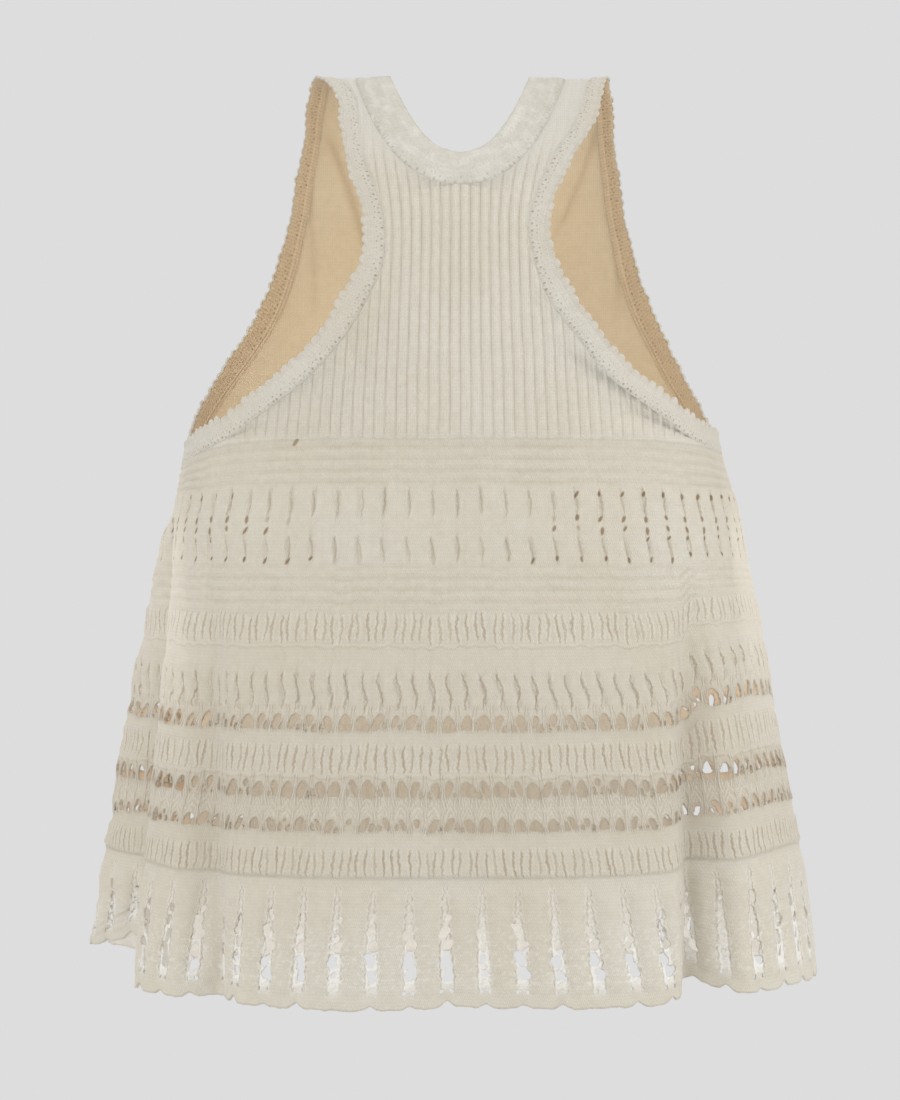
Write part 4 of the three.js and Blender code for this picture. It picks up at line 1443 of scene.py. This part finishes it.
def side_line(side, face, tuck):
    """The seam of an armhole on one face, from the shoulder down to the yoke's corner."""
    seam = mix(seams[side], armholes[side], tuck)
    front, back = split_at_ridge(seam)
    line = front[::-1] if face > 0 else back
    line = np.stack([line[:, 0], face * line[:, 1]], -1)
    own = line[:, 0] if face > 0 else 180 - line[:, 0]
    below = drop_at(line[:, 1]) >= body_top_drop(own) + 1.0
    last = int(np.argmax(below)) if below.any() else len(line) - 1
    return evenly(line[: last + 1], 900)


def neck_side(face, tuck):
    """The neck's seam on one face from its left ridge to its right ridge."""
    seam = mix(neck_seam, neckline, tuck)
    own = seam[face * seam[:, 1] > 0]
    own = np.stack([own[:, 0], face * own[:, 1]], -1)
    own = own[np.argsort(own[:, 0])]
    first, last = own[0] + (own[0] - own[1]) * 0.5, own[-1] + (own[-1] - own[-2]) * 0.5
    first[1] = last[1] = 0
    return np.concatenate([[first], own, [last]])


def resample(line, shares):
    at = np.linspace(0, 1, len(line))
    return np.stack([np.interp(shares, at, line[:, k]) for k in (0, 1)], -1)


def yoke_grid(face, half, horn_rows, chest_rows, tuck):
    """Places for the left horn, the right horn and the chest, tucked a little under the edges."""
    sides = [side_line(side, face, tuck) for side in ("left", "right")]
    neck = neck_side(face, tuck * 0.6)
    middle = int(np.argmax(neck[:, 0] >= 0))
    halves = [evenly(neck[: middle + 1], 400), evenly(neck[middle:][::-1], 400)]
    grids, splits = [], []
    i = np.linspace(0, 1, half + 1)[None, :, None]
    for k in (0, 1):
        drops = drop_at(sides[k][:, 1])
        split = np.argmax(drops >= HORN_END[face]) / (len(drops) - 1)
        splits.append(split)
        j = np.linspace(0, 1, horn_rows + 1)
        outer = resample(sides[k], j * split)
        inner = resample(halves[k], j)
        grids.append(mix(outer[:, None], inner[:, None], i))
    corner = halves[0][-1]
    r = np.linspace(0, 1, chest_rows + 1)
    left = resample(sides[0], mix(splits[0], 1, r))
    right = resample(sides[1], mix(splits[1], 1, r))
    bottom = level_at(BODY_TOP["middle"] + 1.2)
    centre = np.stack([np.full_like(r, corner[0]) * (1 - r), mix(corner[1], bottom, r)], -1)
    chest = np.concatenate([mix(left[:, None], centre[:, None], i),
                            mix(centre[:, None], right[:, None], i)[:, 1:]], 1)
    # The last rows settle onto the line where the patterned body starts.
    own = chest[..., 0] if face > 0 else 180 - chest[..., 0]
    target = level_at(body_top_drop(own) + 2.0)
    across = np.linspace(-1, 1, 2 * half + 1)[None]
    straight = mix(bottom, np.where(across < 0, left[-1, 1], right[-1, 1]), np.abs(across))
    chest[..., 1] += (r[:, None] ** 3) * (target[-1:] - straight)
    return grids, chest


def waist_shift(drop, face, side):
    """How far the ribs beside an armhole lean out at a drop, in mm."""
    edge = through(ARMHOLE, f"{'front' if face > 0 else 'back'} {side}")
    waist_drop = 95.0 if face > 0 else 15.0
    above = np.minimum(drop, waist_drop)
    return (edge(above) - edge(waist_drop)) * (0.45 if face > 0 else 1.0)


def yoke_relief(points, face):
    """Rib height and hollow from where a point is across and down the yoke."""
    x, drop = points[..., 0], -points[..., 2]
    shift = np.where(x < 0, waist_shift(drop, face, "left"), waist_shift(drop, face, "right"))
    edge_share = smoothstep(np.abs(x) / 48)
    spread = 1 + 0.0009 * np.maximum(drop - 110, 0)
    sway = 0.35 * noise_line(301 + face)(drop / 260 + x * 0.002)
    q = (np.abs(x) - shift * edge_share) / (RIB_PITCH * spread) * np.sign(x) + sway * 0.12
    wave = np.cos(np.pi * (q - 0.5)) ** 2
    fade = smoothstep((BODY_TOP["middle"] + 2 - drop) / 5) * mix(0.25, 1, smoothstep((drop - 38) / 26))
    return 1.15 * wave * fade, q, fade


BACK_CREASES = {
    # how far across at the top and the foot, drop at the top and the foot, width, depth, shade
    "left":        (-84, -56, 25, 112, 2.6, 1.1, 0.42),
    "right":       (86, 57, 22, 95, 2.4, 1.0, 0.28),
    "left faint":  (-98, -92, 40, 150, 2.2, 1.0, 0.20),
    "right faint": (96, 98, 60, 150, 2.4, 1.0, 0.18),
    "middle":      (-66, -80, 110, 190, 3.0, 1.0, 0.16),
}


def wrong_side_creases(points, face):
    """Soft creases in the smooth inner side of the back, where it hangs loose, with painted shade along
    them.
    """
    x, drop = points[..., 0], -points[..., 2]
    height, shade = np.zeros(len(points)), np.zeros(len(points))
    for start, end, top, foot, width, depth, dark in BACK_CREASES.values() if face < 0 else ():
        run = (drop - top) / (foot - top)
        line = mix(start, end, run) + 2.5 * np.sin(run * 3)
        strength = bell(x - line, width) * smoothstep(run * 6) * smoothstep((1 - run) * 4)
        height, shade = height + depth * strength, np.maximum(shade, dark * strength)
    return height, shade


def make_yoke(name, face, half, horn_rows, chest_rows, ribbed):
    """One layer of a yoke: the ribbed outside, or the smooth wrong side tucked in behind it."""
    material = MATERIALS["yoke" if ribbed else "inside"]
    (left, right), chest = yoke_grid(face, half, horn_rows, chest_rows, 0.0 if ribbed else INNER_TUCK)
    parts = []
    for k, grid in enumerate((left, right, chest)):
        places = grid if k != 1 else grid[:, ::-1]
        rows, columns = places.shape[0] - 1, places.shape[1] - 1
        chart = Chart(columns, rows)
        own = places[chart.row, chart.column]
        around = own[:, 0] if face > 0 else 180 - own[:, 0]
        flat = form_point(around, own[:, 1])
        normal = outward_normal(around, own[:, 1])
        hollow = np.zeros(len(flat))
        if ribbed:
            height, rib, fade = yoke_relief(flat, face)
            # The ribs sink to the level of the seams on both sides.
            lines = flat.reshape(rows + 1, columns + 1, 3)
            width = np.linalg.norm(lines[:, -1] - lines[:, 0], axis=-1)[::-1]
            to_seam = np.minimum(chart.column, columns - chart.column) / columns * width[chart.row]
            near = smoothstep((to_seam - 0.3) / 2.2)
            height, fade = height * near - 0.25 * (1 - near), fade * mix(0.35, 1, near)
        else:
            height, hollow = wrong_side_creases(flat, face)
            height, rib, fade = height - YOKE_THICK, np.zeros(len(flat)), np.zeros(len(flat))
        marks = {"hollow": hollow, "rib": rib, "ribbed": fade}
        points = flat + normal * height[:, None]
        uv = np.stack([flat[:, 0] / 10, -flat[:, 2] / 10], -1)
        parts.append(new_sheet(f"{name}_{k}", chart, points, marks, uv, [material]))
    return join(name, parts, flip=face < 0)


def join(name, parts, flip=False, weld=True):
    """Makes one mesh of several, merges their shared rows and points their faces one way."""
    bm = bmesh.new()
    materials = []
    for part in parts:
        first = len(bm.faces)
        bm.from_mesh(part.data)
        bm.faces.ensure_lookup_table()
        material = part.data.materials[0]
        if material not in materials:
            materials.append(material)
        for face in bm.faces[first:]:
            face.material_index = materials.index(material)
        bpy.data.objects.remove(part)
    if weld:
        bmesh.ops.remove_doubles(bm, verts=[v for v in bm.verts if v.is_boundary], dist=0.4 * MM)
    if flip:
        bmesh.ops.reverse_faces(bm, faces=bm.faces[:])
    return object_from(bm, name, materials)


# half the columns, rows of a horn, rows of the chest, whether it is the ribbed side
front_yoke = join("front_yoke_rib", [make_yoke("front_rib", 1, 130, 44, 72, True),
                                     make_yoke("front_wrong_side", 1, 24, 14, 24, False)], weld=False)
back_yoke = join("back_yoke_rib", [make_yoke("back_rib", -1, 130, 60, 56, True),
                                   make_yoke("back_wrong_side", -1, 60, 44, 30, False)], weld=False)

# %% [markdown]
# ## Armhole bands
#
# Each band is knitted onto its armhole and edged with picots, small points of yarn that are
# made by a row of loops. Two staggered rows of tiny holes follow the seam. The sheet is laid
# from the seam to the free edge, and a Solidify modifier gives it a second side.

# %% Bands
def ring_sheet(name, edge, seam, closed, relief_of, materials, cell_rows, rim=None):
    """A sheet from a seam (share 0) to a free edge (share 1), all along a ring."""
    count = len(edge) if closed else len(edge) - 1
    chart = Chart(count, cell_rows)
    index = np.mod(chart.column, len(edge)) if closed else chart.column
    share = chart.row / cell_rows
    points = form_point(edge[:, 0], edge[:, 1])
    length = length_along(np.concatenate([points, points[:1]]) if closed else points)
    along = length[chart.column]
    relief = relief_of(share, along, length[-1], edge[index, 1])
    wide = mix(seam[index], edge[index], relief.reach[:, None])
    flat = form_point(wide[:, 0], wide[:, 1])
    points = flat + outward_normal(wide[:, 0], wide[:, 1]) * relief.height[:, None]
    uv = np.stack([along / 10, share * 1.4], -1)
    marks = {"hollow": relief.hollow, "along": along, "across": share * relief.width}
    return new_sheet(name, chart, points, marks, uv, materials, rim=rim)


PICOT = 6.2             # mm from one picot to the next
EDGE_PITCH = 3.1        # mm from one tiny hole to the next


def band_relief(share, along, total, level):
    """A rounded band with a point of yarn at each picot."""
    relief = Relief(share.shape)
    under = smoothstep((drop_at(level) - 60) / 100)
    count = round(total / PICOT)
    q = along / total * count
    number = np.floor(q)
    tooth = np.sqrt(np.clip(1 - (2 * (q - number) - 1) ** 2, 0, 1)) * (0.85 + 0.25 * jitter(401)(number))
    loose = 1 + 0.05 * noise_line(405)(along / total * 5)
    stretch = loose + smoothstep((share - 0.5) * 2) * ((0.21 + 0.05 * jitter(402)(number)) * tooth - 0.10)
    relief.reach = share * stretch - 0.07 * (1 - smoothstep(share * 4))
    relief.width = 10 + 4 * under
    y = share * relief.width
    ends = smoothstep((drop_at(level) - 192) / 18)
    relief.height += (1.3 - 0.5 * ends) * smoothstep((y + 0.3) / 3.2)
    relief.height -= 0.15 + 0.45 * (1 - smoothstep(y / 1.5))
    relief.height += 0.9 * tooth * bell(share - 0.93, 0.10) - 0.35 * bell(share - 0.78, 0.07)
    relief.height += 0.22 * noise_line(403)(along / total * 17 + share * 0.05)
    # Painted shade between the picots.
    relief.hollow = 0.25 * (1 - tooth) * smoothstep((share - 0.75) / 0.2)
    return relief


def edge_threads(tree, rows, tall=1.0, cord=None, fleece=0.0):
    """Rows of tiny holes along a knitted edge, with fine raised stitches between them."""
    along, across = mark(tree, "along"), mark(tree, "across")
    cloth = Cloth(tree)
    dots, raised = [], []
    for k, (at, size, dark) in enumerate(rows):
        q = along / EDGE_PITCH + 0.5 * (k % 2)
        number = (q + 0.5).floor()
        one, two, three = cloth.chance(number, 20.5 * k + 1)
        sideways = (q - number) * EDGE_PITCH - (one - 0.5) * 1.3
        away = (across - at - (two - 0.5) * 1.4) / tall
        distance = (sideways ** 2 + away ** 2) ** 0.5
        dots.append((1 - distance / size).clamped(1.8) * (three * 0.75 + 0.2) * dark)
        raised.append(strand(distance - size * 1.3, 0.5))
    cords = (along * (2 * math.pi / 2.1) + across * 0.5).sine() * 0.5 + 0.5
    # Painted highlight on the raised stitches and the fine cords, and painted shade in the tiny holes.
    pale = most(raised) * 0.35 + cords * 0.12
    shade = most(dots)
    if fleece:
        pale = pale + (flat_noise(tree, along, across * 1.6, 0.12, 1.0) - 0.5) * fleece
    if cord is not None:
        # A pale cord, where the band was knitted on, and painted shade between the fine cords.
        pale = pale + strand(across - cord - cloth.drift(5.0, 9) * 0.2, 0.8) * 0.9
        shade = shade + (1 - cords) * 0.22
    return shade, pale.clamped(), most(raised) * 0.7 + cords * 0.35 - shade * 1.4


def edge_wool(name, colour, deep, rows, threads, **finish):
    return wool(name, colour, deep, threads=lambda tree: edge_threads(tree, rows, **threads), **finish)


# Each row of tiny holes: mm from the seam, size in mm, darkness.
BAND_DOTS = ((1.9, 0.74, 0.85), (4.0, 0.68, 0.7), (8.3, 0.55, 0.3))
BAND_INNER_DOTS = ((4.2, 0.9, 0.9), (6.4, 0.8, 0.7), (10.0, 0.8, 0.6))
MATERIALS["band"] = edge_wool("band wool", (0.735, 0.715, 0.65), DEEP, BAND_DOTS, {})
# The band's inner face is tan, warmer and darker than its outside, partly as painted shade inside the top.
MATERIALS["band inside"] = edge_wool("band wrong side wool", (0.74, 0.59, 0.405), (0.38, 0.235, 0.11),
                                     BAND_INNER_DOTS, {"cord": 2.6}, grain=0.8)
for side in ("left", "right"):
    sheet = ring_sheet(f"armhole_band_{side}_picot", armholes[side], seams[side], False,
                       band_relief, [MATERIALS["band"], MATERIALS["band inside"]], 14)
    if side == "left":
        sheet.data.flip_normals()
    wall = sheet.modifiers.new("second side", "SOLIDIFY")
    wall.thickness = 1.7 * MM
    wall.offset = -1
    wall.material_offset = 1

# %% [markdown]
# ## Neck trim
#
# The trim is a thin, pale strip of lace. It is worked on larger needles than the rest, so it is
# a little see-through, and a row of small holes shows where its stitches were picked up.

# %% Trim
def trim_relief(share, along, total, level):
    """A soft strip with low lumps that rises from its seam."""
    relief = Relief(share.shape)
    relief.reach = 1.08 * share - 0.08 + 0.02 * noise_line(502)(along / total * 9) * share
    relief.width = NECK["trim"]
    y = share * NECK["trim"]
    lumps = noise_line(503)(along / total * 5 + share * 0.13)
    lumps = lumps + noise_line(504)(along / total * 11 - share * 0.3)
    relief.height += 1.1 * smoothstep(y / 4.5) - 0.65 + 0.55 * lumps * smoothstep((y - 3) / 4)
    relief.height += 0.5 * bell(y - 20.5, 1.6)
    return relief


TRIM_DOTS = ((3.0, 0.45, 0.95), (5.4, 0.4, 0.5), (11.5, 0.5, 0.2), (15.0, 0.45, 0.15))
MATERIALS["trim"] = edge_wool("trim wool", PALE, (0.42, 0.34, 0.22), TRIM_DOTS,
                              {"tall": 2.6, "fleece": 2.4}, through=0.38)
neck_trim = ring_sheet("neck_trim_lace", neckline, neck_seam, True, trim_relief, [MATERIALS["trim"]],
                       cell_rows=26, rim=0.45)

# %% [markdown]
# ## Put the pieces in place
#
# Each sheet takes the place of one plain wall of cloth and moves with the one body.

# %% Put the pieces in place
STANDS_FOR = {
    "front_body_lace": ("front_body", "body_wool"),
    "back_body_lace": ("back_body", "body_wool"),
    "front_hem_lace": ("front_hem", "hem_wool"),
    "back_hem_lace": ("back_hem", "hem_wool"),
    "front_yoke_rib": ("front_yoke", "yoke_wool"),
    "back_yoke_rib": ("back_yoke", "yoke_wool"),
    "armhole_band_left_picot": ("armhole_band_left", "band_wool"),
    "armhole_band_right_picot": ("armhole_band_right", "band_wool"),
    "neck_trim_lace": ("neck_trim", "trim_wool"),
}
for name, (node, slot) in STANDS_FOR.items():
    piece = bpy.data.objects[name]
    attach(piece, "root")
    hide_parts(node)
